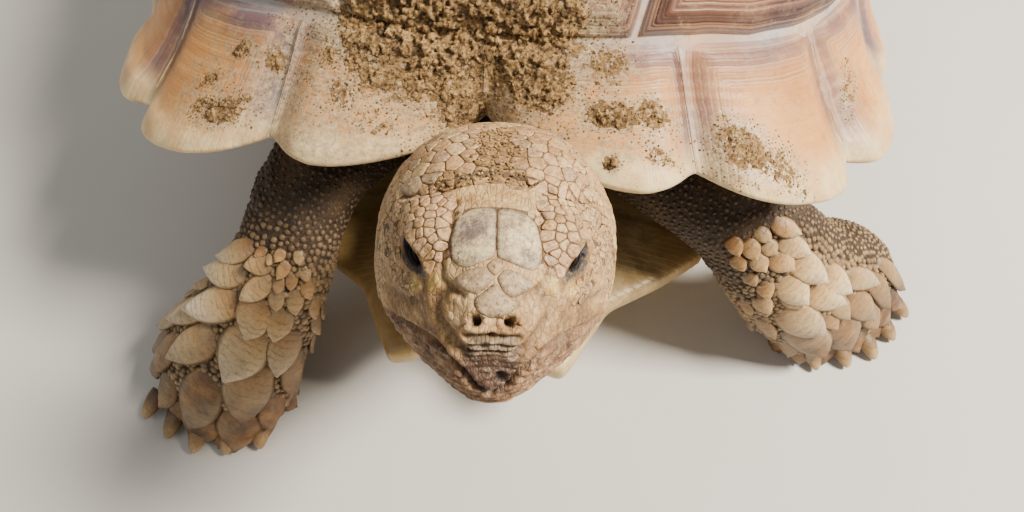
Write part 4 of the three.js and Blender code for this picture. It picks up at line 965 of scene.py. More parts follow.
def head_grid():
    """Skin of the head: a grid in the head's frame, with masks for its markings."""
    rounding = np.sin(np.linspace(.1, math.pi / 2, 10))
    forward = np.concatenate([
        NAPE_ROUND + (NAPE - NAPE_ROUND) * rounding[::-1], np.arange(-40, 4, 1.25), np.arange(4, 43, .5),
        SNOUT_ROUND + (SNOUT - SNOUT_ROUND) * np.sin(np.linspace(0, math.pi / 2 - .02, 46))])
    turn = turned(320)
    turn = turn - .16 * np.sin(2 * turn + math.pi)
    f, a = np.meshgrid(forward, turn, indexing="ij")
    p = head_surface(f, a)
    n = grid_normals(p)
    straight = np.eye(3)
    out = np.zeros(f.shape)
    for side in (1, -1):
        out += swell_to(p, n, np.array([22 * side, 8, -10]), straight, np.array([16, 24, 18]))
        centre, look, along, across = eye_frame(side)
        out = np.maximum(out, swell_to(p, n, centre, np.array([look, along, across]),
                                       np.array([9.9, 13, 11]), 1.2))
        brow = apart(p, [20 * side, -16.5, 25], [8.5, 12, 9])
        temple = apart(p, [14 * side, 14, 28], [14, 17, 15])
        out += 2.1 * smooth(1.15, .1, brow) + 1.7 * smooth(1.2, 0, temple)
    muzzle = apart(p, [.5, -27, 24], [12, 17, 12])
    out += 1.3 * smooth(1.15, .4, muzzle)
    out = np.maximum(out, swell_to(p, n, np.array([0, -37, -4]), straight, np.array([12, 10.5, 8.5]), 2))
    p = p + n * out[..., None]
    n = grid_normals(p)

    d = np.zeros(f.shape)
    masks = {name: np.zeros(f.shape) for name in HEAD_MASKS}

    def mark(name, value):
        masks[name] = np.maximum(masks[name], value)

    for line, width, depth in HEAD_GROOVES.values():
        for path in mirrored(line):
            gap, _ = line_distance(p, path)
            d += -depth * hump(gap, width) + .35 * depth * hump(gap - 2.2 * width, width)
            # Painted shade along the floor of the groove.
            mark("dark", .6 * hump(gap, width))
    d += .9 * smooth(0, 3, p[..., 1] - curve(CROWN_FOLD, np.abs(p[..., 0]))) * smooth(16, 24, p[..., 2])
    # Edge of the beak: the upper lip hangs a little over the lower jaw.
    for path in mirrored(BEAK_EDGE):
        gap, _ = line_distance(p, path)
        d += -2.4 * hump(gap, .8) + .5 * hump(gap - 2.2, 1.2)
        # Painted shade along the mouth line.
        mark("dark", .95 * hump(gap, .9))
    for side in (1, -1):
        nostril = apart(p, [side * 4.75, -43.8, 14.8], [1.15, 1, 1])
        d += -4.2 * smooth(1.75, .8, nostril) + .6 * hump(nostril - 2.6, .8)
        # Painted shade in the nostril.
        mark("dark", smooth(1.9, 1.3, nostril))
        mark("bare", smooth(3.4, 2.9, nostril))
        centre, look, along, across = eye_frame(side)
        local = p - centre
        u, v, w = local @ along, local @ across, local @ look
        near = (w > 2) * np.ones(f.shape)
        arch = np.maximum(1 - ((u - .7) / 7.9) ** 2, 0)
        upper, lower = .5 * arch, -(1.6 + 2.0 * smooth(-5, 2, u)) * arch
        open_part = np.maximum(1 - ((u - 2.3) / 5.3) ** 2, 0) ** .6
        gap = np.maximum(np.maximum(v - 1.0 * open_part, -2.1 * open_part - v), np.abs(u - 2.3) - 5.1)
        d += near * (.7 * hump(v - upper - 1.7, .8) * smooth(9.5, 6.5, np.abs(u))
                     + .5 * hump(v - lower + .8, .7) * smooth(8, 5, np.abs(u))
                     - 1.0 * hump(v - lower + 4.0, .9) * smooth(9, 6, np.abs(u))
                     - .5 * hump(v - lower + 2.4, .4) * smooth(8, 5, np.abs(u)))
        mark("lid", near * smooth(1.4, .6, lower - v) * smooth(-.6, 0, upper - v + .6)
             * smooth(8.7, 7.3, np.abs(u - .7)) * smooth(6, 2, u))
        # Painted shade round the eye opening.
        mark("dark", near * smooth(.8, .1, gap))
        mark("yellow", smooth(3.4, 1.2, apart(p, [15.8 * side, -31.8, 17.4])))
        mark("yellow", .85 * smooth(4, 1.4, apart(p, [22.6 * side, -28.2, 12.6], [1.3, 1, .9])))
        # The eye opening, painted near black in the skin as painted shade.
        mark("slit", near * smooth(.35, -.2, gap))
        beyond = np.maximum(np.maximum(v - upper - 1.6, lower - 3.4 - v), np.abs(u - .7) - 8)
        mark("bare", near * smooth(1.6, .6, beyond))
    x, y, z = np.moveaxis(p, -1, 0)
    edge_z = curve(sorted([q[1], q[2]] for q in BEAK_EDGE[1:]), y)
    edge_z = np.where(np.abs(x) < 7, np.interp(np.abs(x), [0, 4, 7.1], [-7.5, -5.5, -1]), edge_z)
    beak = smooth(41, 45, -y) * smooth(8, 6, z) * smooth(-2, 0, z - edge_z) * smooth(10, 6, np.abs(x))
    # The sides of the upper jaw take half the beak's dark colour: partly its own horn, partly painted shade.
    masks["beak"] = np.maximum(beak, .5 * smooth(30, 40, -y) * smooth(8, 2, z) * smooth(0, 2, z - edge_z))
    masks["jaw"] = smooth(.5, -1, z - edge_z) * smooth(8, 18, -y)
    masks["band"] = smooth(4.5, 6.5, -y) * smooth(17, 13, -y) * smooth(14, 10, np.abs(x)) * (z > 10)
    lip = smooth(6, 7, z) * smooth(11.6, 11, z)
    masks["pale"] = smooth(42, 45, -y) * lip * smooth(8, 5.5, np.abs(x - .3))
    d += beak * (.22 * np.sin(z * 3.1 + .5 * np.abs(x) + 2 * value_noise(p, 6, 9)) + .3 * fractal(p, 3, 31))
    d += masks["pale"] * .26 * np.sin(z * 4.2 + 1.5 * value_noise(p, 5, 33))
    hole = apart(p, [2.8, -47.9, -1.4])
    d -= 1.5 * smooth(2.4, .8, hole)
    # Painted shade in the small hole.
    mark("dark", smooth(2.6, 1.2, hole))
    d += masks["jaw"] * .35 * np.sin((z + .3 * y) * 2.6 + 3 * value_noise(p * [1, .4, 1], 6, 32))
    # Fine wrinkles run from the nostril and eye back over the cheek.
    rake = np.stack([x, .55 * y + .5 * z, .9 * z - .45 * y], -1) * [1, .35, 1]
    cheek = np.clip(smooth(14, 22, np.abs(x)) + smooth(30, 38, -y), 0, 1)
    wrinkle = np.abs(fractal(rake, 4.5, 12))
    d += cheek * smooth(6, 12, np.abs(x)) * .95 * (wrinkle - .3)
    # Painted shade in the cheek wrinkles.
    mark("dark", .5 * cheek * smooth(.12, 0, wrinkle))
    carrier = p + n * np.clip(d, -.45, 3)[..., None]
    d += .22 * fractal(p, 3.2, 13)
    p = p + n * d[..., None]
    for side in (1, -1):
        centre, look, along, across = eye_frame(side)
        inner = centre + unit(p - centre) * (EYE_RADIUS - .6)
        here = masks["slit"] * (p[..., 0] * side > 0)
        p = p + (inner - p) * here[..., None]
    return {"points": p, "normals": grid_normals(carrier), "masks": masks, "carrier": carrier}


HEAD = head_grid()


# ---------------- the skin as one closed surface

SKIN_MASKS = ("lid", "yellow", "beak", "jaw", "band", "dark", "pale", "limb", "slit", "under")
SEAM_GAP = 2.5e-4  # a point of the joined skin lies this far in metres from every point that went in


def closed_object(name, p):
    """A watertight object from a grid of rings."""
    mesh = bpy.data.meshes.new(name)
    mesh.from_pydata(place(with_ends(p)).tolist(), [], closed_grid(*p.shape[:2]))
    finish_normals(mesh)
    return linked(name, mesh)


def torso_grid():
    """The body inside the shell, whose front shows as slack skin round the neck and legs."""
    levels = np.array([[58.5, 60, 120], [60.5, 90, 155], [82, 111, 171], [112, 139, 177], [160, 149, 169],
                       [190, 119, 149], [192, 80, 110]], float)
    z = np.concatenate([[58.5, 59.2], np.linspace(60.5, 190, 34), [191.5, 192]])
    a = turned(120)
    half_width, half_length = (np.interp(z, levels[:, 0], levels[:, k])[:, None] for k in (1, 2))
    c, s = np.cos(a)[None], np.sin(a)[None]
    p = np.stack([half_width * rounded(c, 2 / 3), half_length * rounded(s, 2 / 3),
                  np.repeat(z[:, None], len(a), 1)], -1)
    ease = smooth(-120, -160, p[..., 1])
    p[..., :2] *= (1 + .012 * ease * fractal(p, 26, 21))[..., None]
    return p


def union(objects, name):
    """Joins closed objects into one by a Boolean, and cleans up its slivers."""
    group = bpy.data.collections.new(name + "_parts")
    for obj in objects[1:]:
        group.objects.link(obj)
    boolean = objects[0].modifiers.new("join", "BOOLEAN")
    boolean.operation, boolean.solver = "UNION", "MANIFOLD"
    boolean.operand_type, boolean.collection = "COLLECTION", group
    mesh = evaluated(objects[0])
    for obj in objects:
        bpy.data.objects.remove(obj)
    bpy.data.collections.remove(group)
    return edited(mesh, (bmesh.ops.triangulate, "faces", {}),
                  (bmesh.ops.remove_doubles, "verts", {"dist": 2e-5}),
                  (bmesh.ops.dissolve_degenerate, "edges", {"dist": 1e-5}))


def relax(points, edges, weight, rounds):
    """Smooths points towards the middle of their neighbours, by a weight each."""
    count = len(points)
    degree = np.bincount(edges.ravel(), minlength=count)[:, None]
    for _ in range(rounds):
        total = np.stack([np.bincount(edges[:, 0], points[edges[:, 1], k], count)
                          + np.bincount(edges[:, 1], points[edges[:, 0], k], count) for k in range(3)], -1)
        points = points + (total / np.maximum(degree, 1) - points) * weight[:, None] * .6
    return points


def make_skin(material):
    """All the flesh as one skin, its masks carried over and its joins smoothed out."""
    objects, sources, masks = [], [], []
    grids = [("torso_skin", torso_grid(), {"limb": 1.0})]
    grids += [(name + "_skin", tube_grid(name)[0], {"limb": 1.0}) for name in LIMB_GRIDS]
    for name, p, values in grids + [("head_skin", from_head(HEAD["points"]), HEAD["masks"])]:
        objects.append(closed_object(name, p))
        sources.append(p.reshape(-1, 3))
        masks.append(np.stack([np.broadcast_to(values.get(mask, 0.0), p.shape[:2]).ravel()
                               for mask in SKIN_MASKS], -1))
    mesh = union(objects, "skin")
    tree = nearby(place(np.concatenate(sources)))
    points = mesh_points(mesh)
    edges = np.empty(len(mesh.edges) * 2, int)
    mesh.edges.foreach_get("vertices", edges)
    edges = edges.reshape(-1, 2)
    found = [tree.find(point) for point in points]
    values = np.concatenate(masks)[[f[1] for f in found]]
    seam = points[np.array([f[2] for f in found]) > SEAM_GAP]
    if len(seam):
        seam_tree = nearby(seam)
        gap = np.array([seam_tree.find(point)[2] for point in points]) * 1000
        points = relax(points, edges, smooth(7, 1, gap) * smooth(.3, 3, points[:, 2] * 1000), 16)
        move_points(mesh, points)
        limb = SKIN_MASKS.index("limb")
        values[:, limb] = relax(np.repeat(values[:, [limb]], 3, 1), edges, smooth(12, 1, gap), 20)[:, 0]
    for name, column in zip(SKIN_MASKS, values.T):
        point_values(mesh, name, column)
    mesh.materials.clear()
    mesh.materials.append(material)
    finish_normals(mesh)
    print("skin", len(mesh.polygons), "triangles", len(seam), "seam points")
    return linked("skin", mesh)


# ---------------- materials of the body

def skin_colour(m):
    """Colour shared by the skin and the scales that grow on it."""
    base = m.mottle([17, 4.0, .6], [(.36, "#8a653c"), (.5, "#ac8453"), (.62, "#c8a472")])
    # The skin of the limbs, neck and body is a darker brown of its own, made darker still as painted shade
    # under the shell.
    for name, noise, stops in (
            ("limb", [20, 4.0, .6], [(.36, "#21180f"), (.5, "#36281a"), (.64, "#54412b")]),
            ("band", [9, 4.0, .6], [(.4, "#a98352"), (.6, "#cdab72")]),
            ("jaw", [6, 4.0, .65], [(.38, "#5e422c"), (.5, "#8d6747"), (.64, "#ad8862")]),
            ("beak", [7, 4.0, .65], [(.38, "#3a2a22"), (.52, "#654a3a"), (.66, "#8a6b57")])):
        base = m.blend(m.value(name), base, m.mottle(noise, stops))
    base = m.blend(m.value("pale"), base, "#8f7a60")
    base = m.blend(m.value("lid"), base, m.mottle([5], [(.4, "#372c24"), (.6, "#55483b")]))
    base = m.blend(m.value("yellow"), base, m.mottle([4], [(.4, "#c79c45"), (.6, "#dfc27c")]))
    base = m.spots(base, [1.6, 4.0, .7], .5, .38, .42, "#5d442c")  # specks
    scuff = m.mottle([3.1, 5.0, .75, 1.5], [(.52, 0.0), (.66, 1.0)])
    rubbed = m.maths("SUBTRACT", .45, m.times(m.value("limb"), .4))
    base = m.blend(m.times(scuff, rubbed), base, "#d8c4a2")
    # Painted shade in the grooves, creases, nostrils and round the eyes.
    base = m.blend(m.times(m.value("dark"), .8), base, "#2d2018")
    # Painted shade: the walls of the eye opening turn near black.
    return m.blend(m.ramp(m.value("slit"), [(0, 0.0), (.12, 1.0)]), base, "#0a0605")


def skin_material():
    """Dry leathery skin: matt, finely creased, with a faint waxy gloss on its worn ridges, and painted shade
    in its creases and between the head plates.
    """
    m = Paint("dry_creased_skin")
    colour = skin_colour(m)
    # Painted shade: the skin is darker where head plates grow over it, in the gaps between them.
    colour = m.blend(m.times(m.value("under"), .8), colour, "#3a2718")
    bent = node(m.tree, "ShaderNodeMapping", {"Vector": m.coordinates, "Scale": (1, .45, .8)}).outputs[0]
    crease = node(m.tree, "ShaderNodeTexVoronoi", {"Vector": bent, "Scale": 1000 / 1.5},
                  feature="DISTANCE_TO_EDGE").outputs[0]
    crease = m.ramp(crease, [(0, 0.0), (.12, .8), (.3, 1.0)])
    # Painted shade in the fine creases.
    colour = m.blend(m.times(m.maths("SUBTRACT", 1.0, crease), .28), colour, "#3d2c1e")
    relief = m.plus(m.times(crease, .5), m.times(m.noise(1.1, 4.0, .7), .6))
    return m.done(colour, relief, m.patchy([5], .3, .45), .6, .0006, ior=1.45)


def eye_material():
    """Wet eye: near-black iris under a clear film, so one sharp highlight."""
    m = Paint("wet_dark_eye")
    iris = m.mottle([2.5, 3.0], [(.4, "#070403"), (.6, "#140c07")])
    return m.done(iris, m.noise(6), .1, .03, .0002, ior=1.34, specular=.3)


# ---------------- plates of the head

# Named plates of the head, as outlines on its surface, with the height that each stands.
HEAD_PLATES = {
    "prefrontal_right": (.6, [(-.3, -16.4, 30), (-3.9, -15.8, 30), (-7.9, -16.4, 29.3), (-10.7, -19, 28.2),
        (-11.8, -23, 26), (-11.6, -28, 23.4), (-9.5, -31, 22.6), (-6.7, -32.2, 22.9), (-2.9, -31, 24),
        (-.1, -29.9, 24.5), (-.2, -23.5, 27.4)]),
    "prefrontal_left": (.6, [(.3, -16.6, 29.9), (4.1, -16.1, 29.7), (7.6, -16.6, 28.9), (10.7, -19.2, 27.4),
        (12, -23.8, 24.9), (12.2, -28, 22.2), (10, -31.2, 21.4), (6, -31.4, 23), (2.5, -30.5, 24.2),
        (.5, -29.8, 24.5), (.4, -23.5, 27.3)]),
    "frontal_diamond": (.6, [(.2, -30.6, 24.3), (-2, -32.4, 23.3), (.1, -34.6, 22.2), (2.3, -32.4, 23.3)]),
    "internasal_right": (.7, [(-9.7, -33.8, 21), (-6.6, -33, 22.4), (-2.7, -32.8, 23.1), (-.3, -35.3, 21.9),
        (-2.3, -37.7, 20.5), (-4.6, -38.8, 19.7), (-9.1, -36.2, 19.8)]),
    "internasal_left": (.7, [(.7, -35.4, 21.9), (2.9, -33, 22.9), (8.4, -33.6, 21), (10.1, -34.8, 19.4),
        (8.1, -36.6, 18.9), (5, -38.7, 18.7), (2.6, -38.2, 20)]),
    "nasal": (.6, [(.2, -36.3, 21.3), (-2.1, -38.4, 20.1), (-4.4, -39.7, 19.1), (-4.1, -41.7, 16.8),
        (-.3, -43.1, 15.6), (3.7, -42.1, 16.2), (6.8, -39.5, 17.4), (4.6, -39.5, 18.6),
        (2.2, -38.6, 19.9)]),
    "temple_right": (.9, [(-29.4, 1.8, 23.2), (-26.9, 3.8, 25), (-22.9, 2.4, 27), (-21.7, -2.6, 27.4),
        (-26.2, -2.6, 25.2)]),
}


# Left, bottom and width of the panel of each part on the unwrapped skin.
PANELS = {"head": (.02, .52, .46), "neck": (.51, .52, .23), "tail": (.76, .52, .22),
          "foreleg_right": (.02, .02, .22), "foreleg_left": (.26, .02, .22),
          "hind_leg_right": (.51, .02, .22), "hind_leg_left": (.76, .02, .22)}
PANEL_HEIGHT, MAP_PER_MM = .46, .0014
RAY_START, RAY_LENGTH = 5, 14  # mm over a plate, from where it looks for the skin under it


def atlas(part, along, turn):
    """Place on the unwrapped skin."""
    left, bottom, width = PANELS[part]
    along, turn = np.broadcast_arrays(along, turn)
    across = left + width * ((turn / (2 * math.pi)) % 1)
    return np.stack([across, bottom + PANEL_HEIGHT * along, 0 * along], -1)


def smooth_outline(points, rounds, share):
    """Cuts the corners of a closed outline."""
    for _ in range(rounds):
        after = np.roll(points, -1, 0)
        points = np.stack([points * (1 - share) + after * share, points * share + after * (1 - share)], 1)
        points = points.reshape(-1, points.shape[-1])
    return points


def cell_outline(toward, limits, reach):
    """Outline of one cell in its own plane: a ring cut along a line on the way to each neighbour."""
    a = turned(10)
    outline = np.stack([np.cos(a), np.sin(a)], -1) * reach
    for way, limit in zip(toward, limits):
        over = outline @ way - limit
        if (over <= 0).all():
            continue
        kept = []
        for k in range(len(outline)):
            a0, a1, p0, p1 = over[k - 1], over[k], outline[k - 1], outline[k]
            if (a0 > 0) != (a1 > 0):
                kept.append(p0 + (p1 - p0) * a0 / (a0 - a1))
            if a1 <= 0:
                kept.append(p1)
        if len(kept) < 3:
            return None
        outline = np.array(kept)
    return outline


def tangents(normal):
    """Two ways across a normal, at right angles to each other."""
    side = unit(np.cross(normal, (0, 0, 1) if abs(normal[2]) < .9 else (0, 1, 0)))
    return side, np.cross(normal, side)


def raise_plate(coat, ground, origin, axes, outline, height, insets, rim=1.0, **values):
    """A closed plate: rings of an outline in a plane, dropped on the skin and raised by a height each."""
    normal, side, up = (HEAD_MATRIX[:3, :3] / HEAD_SCALE @ axis for axis in axes)
    radius = np.linalg.norm(outline, axis=1).mean()
    rings = [(outline * max(1 - inset / radius, .12), lift * height) for inset, lift in insets]
    flat = np.concatenate([r for r, _ in rings] + [np.zeros((2, 2))])
    lift = np.concatenate([np.full(len(outline), h) for _, h in rings] + [[-.5, rings[-1][1] * 1.04]])
    starts = origin + flat[:, :1] * side + flat[:, 1:] * up
    depth, lean = np.full(len(flat), np.nan), np.tile(normal, (len(flat), 1))
    for k, start in enumerate(starts):
        hit = ground.ray_cast(Vector(start + normal * RAY_START), Vector(-normal), RAY_LENGTH)
        if hit[0] is not None:
            depth[k] = hit[3] - RAY_START
            lean[k] = unit(np.array(hit[1]) + normal * 1.2)
    middle = np.nanmedian(depth) if np.isfinite(depth).any() else 0
    slack = .3 + .13 * radius
    depth = np.clip(np.where(np.isfinite(depth), depth, middle), middle - slack, middle + slack)
    points = starts - normal * depth[:, None] + lean * lift[:, None]
    edge = rim * np.append(np.repeat(1 - np.arange(len(rings)) / len(rings), len(outline)), [1, 0])
    where = values.pop("atlas") + np.c_[flat, np.zeros(len(flat))] / max(radius, .5) * MAP_PER_MM
    coat.add(points, closed_grid(len(rings), len(outline)), edge=edge, atlas=where, **values)


# No plates grow where a marking of the head is stronger than this.
BARE_ABOVE = dict(band=.4, beak=.3, pale=.3, jaw=.45, lid=.3, slit=.1, dark=.3, bare=.3)


def head_spacing(p, masks):
    """How far apart the small plates stand on each part of the head, and how high; 0 where none grow."""
    x, y, z = np.moveaxis(p, -1, 0)
    behind = y - curve(CROWN_FOLD, np.abs(x))
    spacing = 3.3 + 0 * x
    crown = 3.9 + 1.2 * smooth(6, 18, z) - .8 * smooth(18, 40, y)
    spacing = np.where((behind > .8) & (z > 6), crown, spacing)
    brow = apart(p, np.stack([20 * np.sign(x), 0 * x - 17, 0 * x + 24], -1), [8.5, 12.5, 9])
    dome = (behind < -1) & (brow < 1.1) & (z > 15)
    spacing = np.where(dome, 3.0, spacing)
    cheek = (behind < 0) & ~dome
    spacing = np.where(cheek, 1.8, spacing)
    height = np.where(cheek, .07, np.where(dome, .38, .3))
    bare = (y > 44) | ((y < -40) & (z < 13.5) & (np.abs(x) < 9)) | (cheek & (y < -29)) \
        | (cheek & (y < -14) & (z < 9.5 + .22 * (y + 14)))
    for name, most in BARE_ABOVE.items():
        bare |= masks[name] > most
    return np.where(bare, 0, spacing), height


def placed_seeds(flat_p, space, rng):
    """Grid points spread by the space that each asks for, then moved to the middle of their cells."""
    seeds, index = np.empty((0, 3)), []
    for k in rng.permutation(np.flatnonzero(space > 0)):
        if not len(index) or np.min(((seeds - flat_p[k]) ** 2).sum(1)) > (space[k] * .8) ** 2:
            seeds = np.vstack([seeds, flat_p[k]])
            index.append(k)
    candidates = np.flatnonzero(space > 0)
    snap = nearby(flat_p[candidates])
    for _ in range(2):
        tree = nearby(seeds)
        owner = np.array([tree.find(flat_p[k])[1] for k in candidates])
        total = np.stack([np.bincount(owner, flat_p[candidates, a], len(seeds)) for a in range(3)], -1)
        middle = total / np.maximum(np.bincount(owner, minlength=len(seeds)), 1)[:, None]
        index = [candidates[snap.find(q)[1]] for q in middle]
        seeds = flat_p[index]
    return seeds, index


SMALL_PLATE = ((0, -.4), (.03, .45), (.22, .85), (.7, 1.0))  # inset of each ring in mm and share of height
LARGE_PLATE = ((0, -.7), (.05, .12), (.35, .5), (1, .8), (2, .95), (3.2, 1.0), (5, 1.05), (7, 1.05))
PLATE_MARKS = ("lid", "yellow", "beak", "jaw", "band", "pale")


def dress_head(material, ground):
    """The mosaic of small plates on the crown, brows and cheeks, and the named plates of the muzzle."""
    coat = Mesh(*PLATE_MARKS, "dark", "tone", "edge", "stain", "mud", "plain", "atlas")
    masks = {name: mask.ravel() for name, mask in HEAD["masks"].items()}
    rows, columns = HEAD["carrier"].shape[:2]
    space, tall = (values.ravel() for values in head_spacing(HEAD["carrier"], HEAD["masks"]))
    flat_p, flat_n = HEAD["carrier"].reshape(-1, 3), HEAD["normals"].reshape(-1, 3)
    places = atlas("head", np.linspace(0, 1, rows)[:, None], turned(columns)[None]).reshape(-1, 3)
    fences = []
    for _, outline in HEAD_PLATES.values():
        outline = np.array(outline)
        fences.append(smooth_outline(outline, 2, .25))
        away = apart(flat_p, outline.mean(0))
        inside = away < apart(outline, outline.mean(0)).min() * .9
        near = nearby(fences[-1])
        close = np.array([near.find(q)[2] if c else 9 for q, c in zip(flat_p, away < 14)])
        space = np.where(inside | (close < 2.0), 0, space)
    rng = np.random.default_rng(7)
    seeds, index = placed_seeds(flat_p, space, rng)
    tree, wall = nearby(seeds), nearby(np.concatenate(fences))
    for i, k in enumerate(index):
        s, normal = space[k], flat_n[k]
        side, up = tangents(normal)
        toward, limits = [], []
        gap = .1 if s > 2.8 else .06
        others = [(q, space[index[j]]) for q, j, _ in tree.find_range(seeds[i], s * 2.6) if j != i]
        cuts = [(q, s / (s + other), gap) for q, other in others]
        cuts += [(q, 1, gap * 1.6) for q, _, _ in wall.find_range(seeds[i], s * 1.4)]
        for q, share, less in cuts:
            d = np.array(q) - seeds[i]
            flat = np.array([d @ side, d @ up])
            long = np.linalg.norm(flat)
            if long > .3:
                toward.append(flat / long)
                limits.append(long * share - less)
        outline = cell_outline(toward, limits, s * .95)
        if outline is None or len(outline) < 3:
            continue
        centre = outline.mean(0)
        outline = smooth_outline(outline, 1, .16) - centre
        if np.linalg.norm(outline, axis=1).mean() < .45:
            continue
        origin = from_head(flat_p[k] + side * centre[0] + up * centre[1])
        marks = {name: masks[name][k] for name in PLATE_MARKS}
        # Plates take half the painted shade of the grooves they sit in.
        marks.update(dark=.5 * masks["dark"][k], mud=head_soil(flat_p[k]), plain=float(tall[k] < .1))
        tone = rng.random()
        # Taller plates get darker margins: partly their own colour, partly painted shade in the deeper gaps.
        raise_plate(coat, ground, origin, (normal, side, up), outline * HEAD_SCALE,
                    tall[k] * rng.uniform(.75, 1.2), SMALL_PLATE, rim=min(1, .35 + tall[k]), tone=tone,
                    atlas=places[k], **marks)
    for number, (height, outline) in enumerate(HEAD_PLATES.values()):
        outline = np.array(outline)
        centre = outline.mean(0)
        _, _, axes = np.linalg.svd(outline - centre)
        normal = axes[2] * np.sign(axes[2] @ (centre - [0, -10, 0]))
        side, up = tangents(normal)
        flat = np.stack([(outline - centre) @ side, (outline - centre) @ up], -1)
        flat = smooth_outline(smooth_outline(flat, 1, .17), 2, .25)
        flat *= 1 + .5 / np.linalg.norm(flat, axis=1).mean()
        k = np.argmin(((flat_p - centre) ** 2).sum(1))
        raise_plate(coat, ground, from_head(centre), (normal, side, up), flat * HEAD_SCALE, height,
                    LARGE_PLATE, tone=.3 + .05 * number if number < 3 else .98,
                    stain=1.0 if number < 2 else .3, atlas=places[k])
    print("head plates", len(index))
    return coat.build("head_plates", material)


def scale_material():
    """Dry horny scales: pale worn middles, darker margins that are partly their own colour and partly painted
    shade in the gaps, a soft dull sheen and fine growth lines.
    """
    m = Paint("dry_horny_scales")
    colour = skin_colour(m)
    own = m.maths("SUBTRACT", .72, m.times(m.value("plain"), .47))
    horn = m.ramp(m.value("tone"), [
        (0, "#a47b4e"), (.25, "#cda066"), (.45, "#bb8f66"), (.65, "#debe84"), (.85, "#cb9a70"),
        (1, "#a2896c")])
    colour = m.blend(own, colour, horn)
    yellow = m.mottle([4], [(.4, "#c9a04c"), (.6, "#e2c784")])
    colour = m.blend(m.times(m.value("yellow"), .9), colour, yellow)
    stained = m.mottle([7, 5.0, .65], [
        (.37, "#74625a"), (.46, "#93806e"), (.55, "#bca67f"), (.66, "#dccb9f")])
    stained = m.blend(m.ramp(m.value("edge"), [(.4, 0.0), (.62, .55), (.7, .3)]), stained, "#d2bf94")
    colour = m.blend(m.value("stain"), colour, stained)
    colour = m.spots(colour, [2.6, 6.0, .78], .52, .4, .5, "#73563f")  # mottling
    colour = m.spots(colour, [.9, 4.0, .75], .46, .38, .7, "#402b19")  # grime
    colour = m.spots(colour, [1.3, 5.0, .75], .52, .66, .4, "#e8d6b2")  # rubbed spots
    # Darker margins: partly the plates' own colour, partly painted shade in the gaps.
    rim = m.ramp(m.value("edge"), [(.5, 0.0), (.95, 1.0)])
    colour = m.blend(m.times(rim, .62), colour, "#472f1c")
    mud = m.ramp(m.plus(m.value("mud"), m.sway(3.4, [1.9, 6.0, .85])),
               [(.5, 0.0), (.62, 1.0)])
    colour = m.blend(m.times(mud, .9), colour, m.mottle([1.1, 5.0, .8], SOIL))
    relief = m.plus(m.noise(1.4, 5.0, .75), m.times(m.noise(.6, 2.0), .4))
    return m.done(colour, relief, m.patchy([4], .3, .4), .55, .0005, ior=1.5)


# ---------------- shields, claws and spurs of the legs

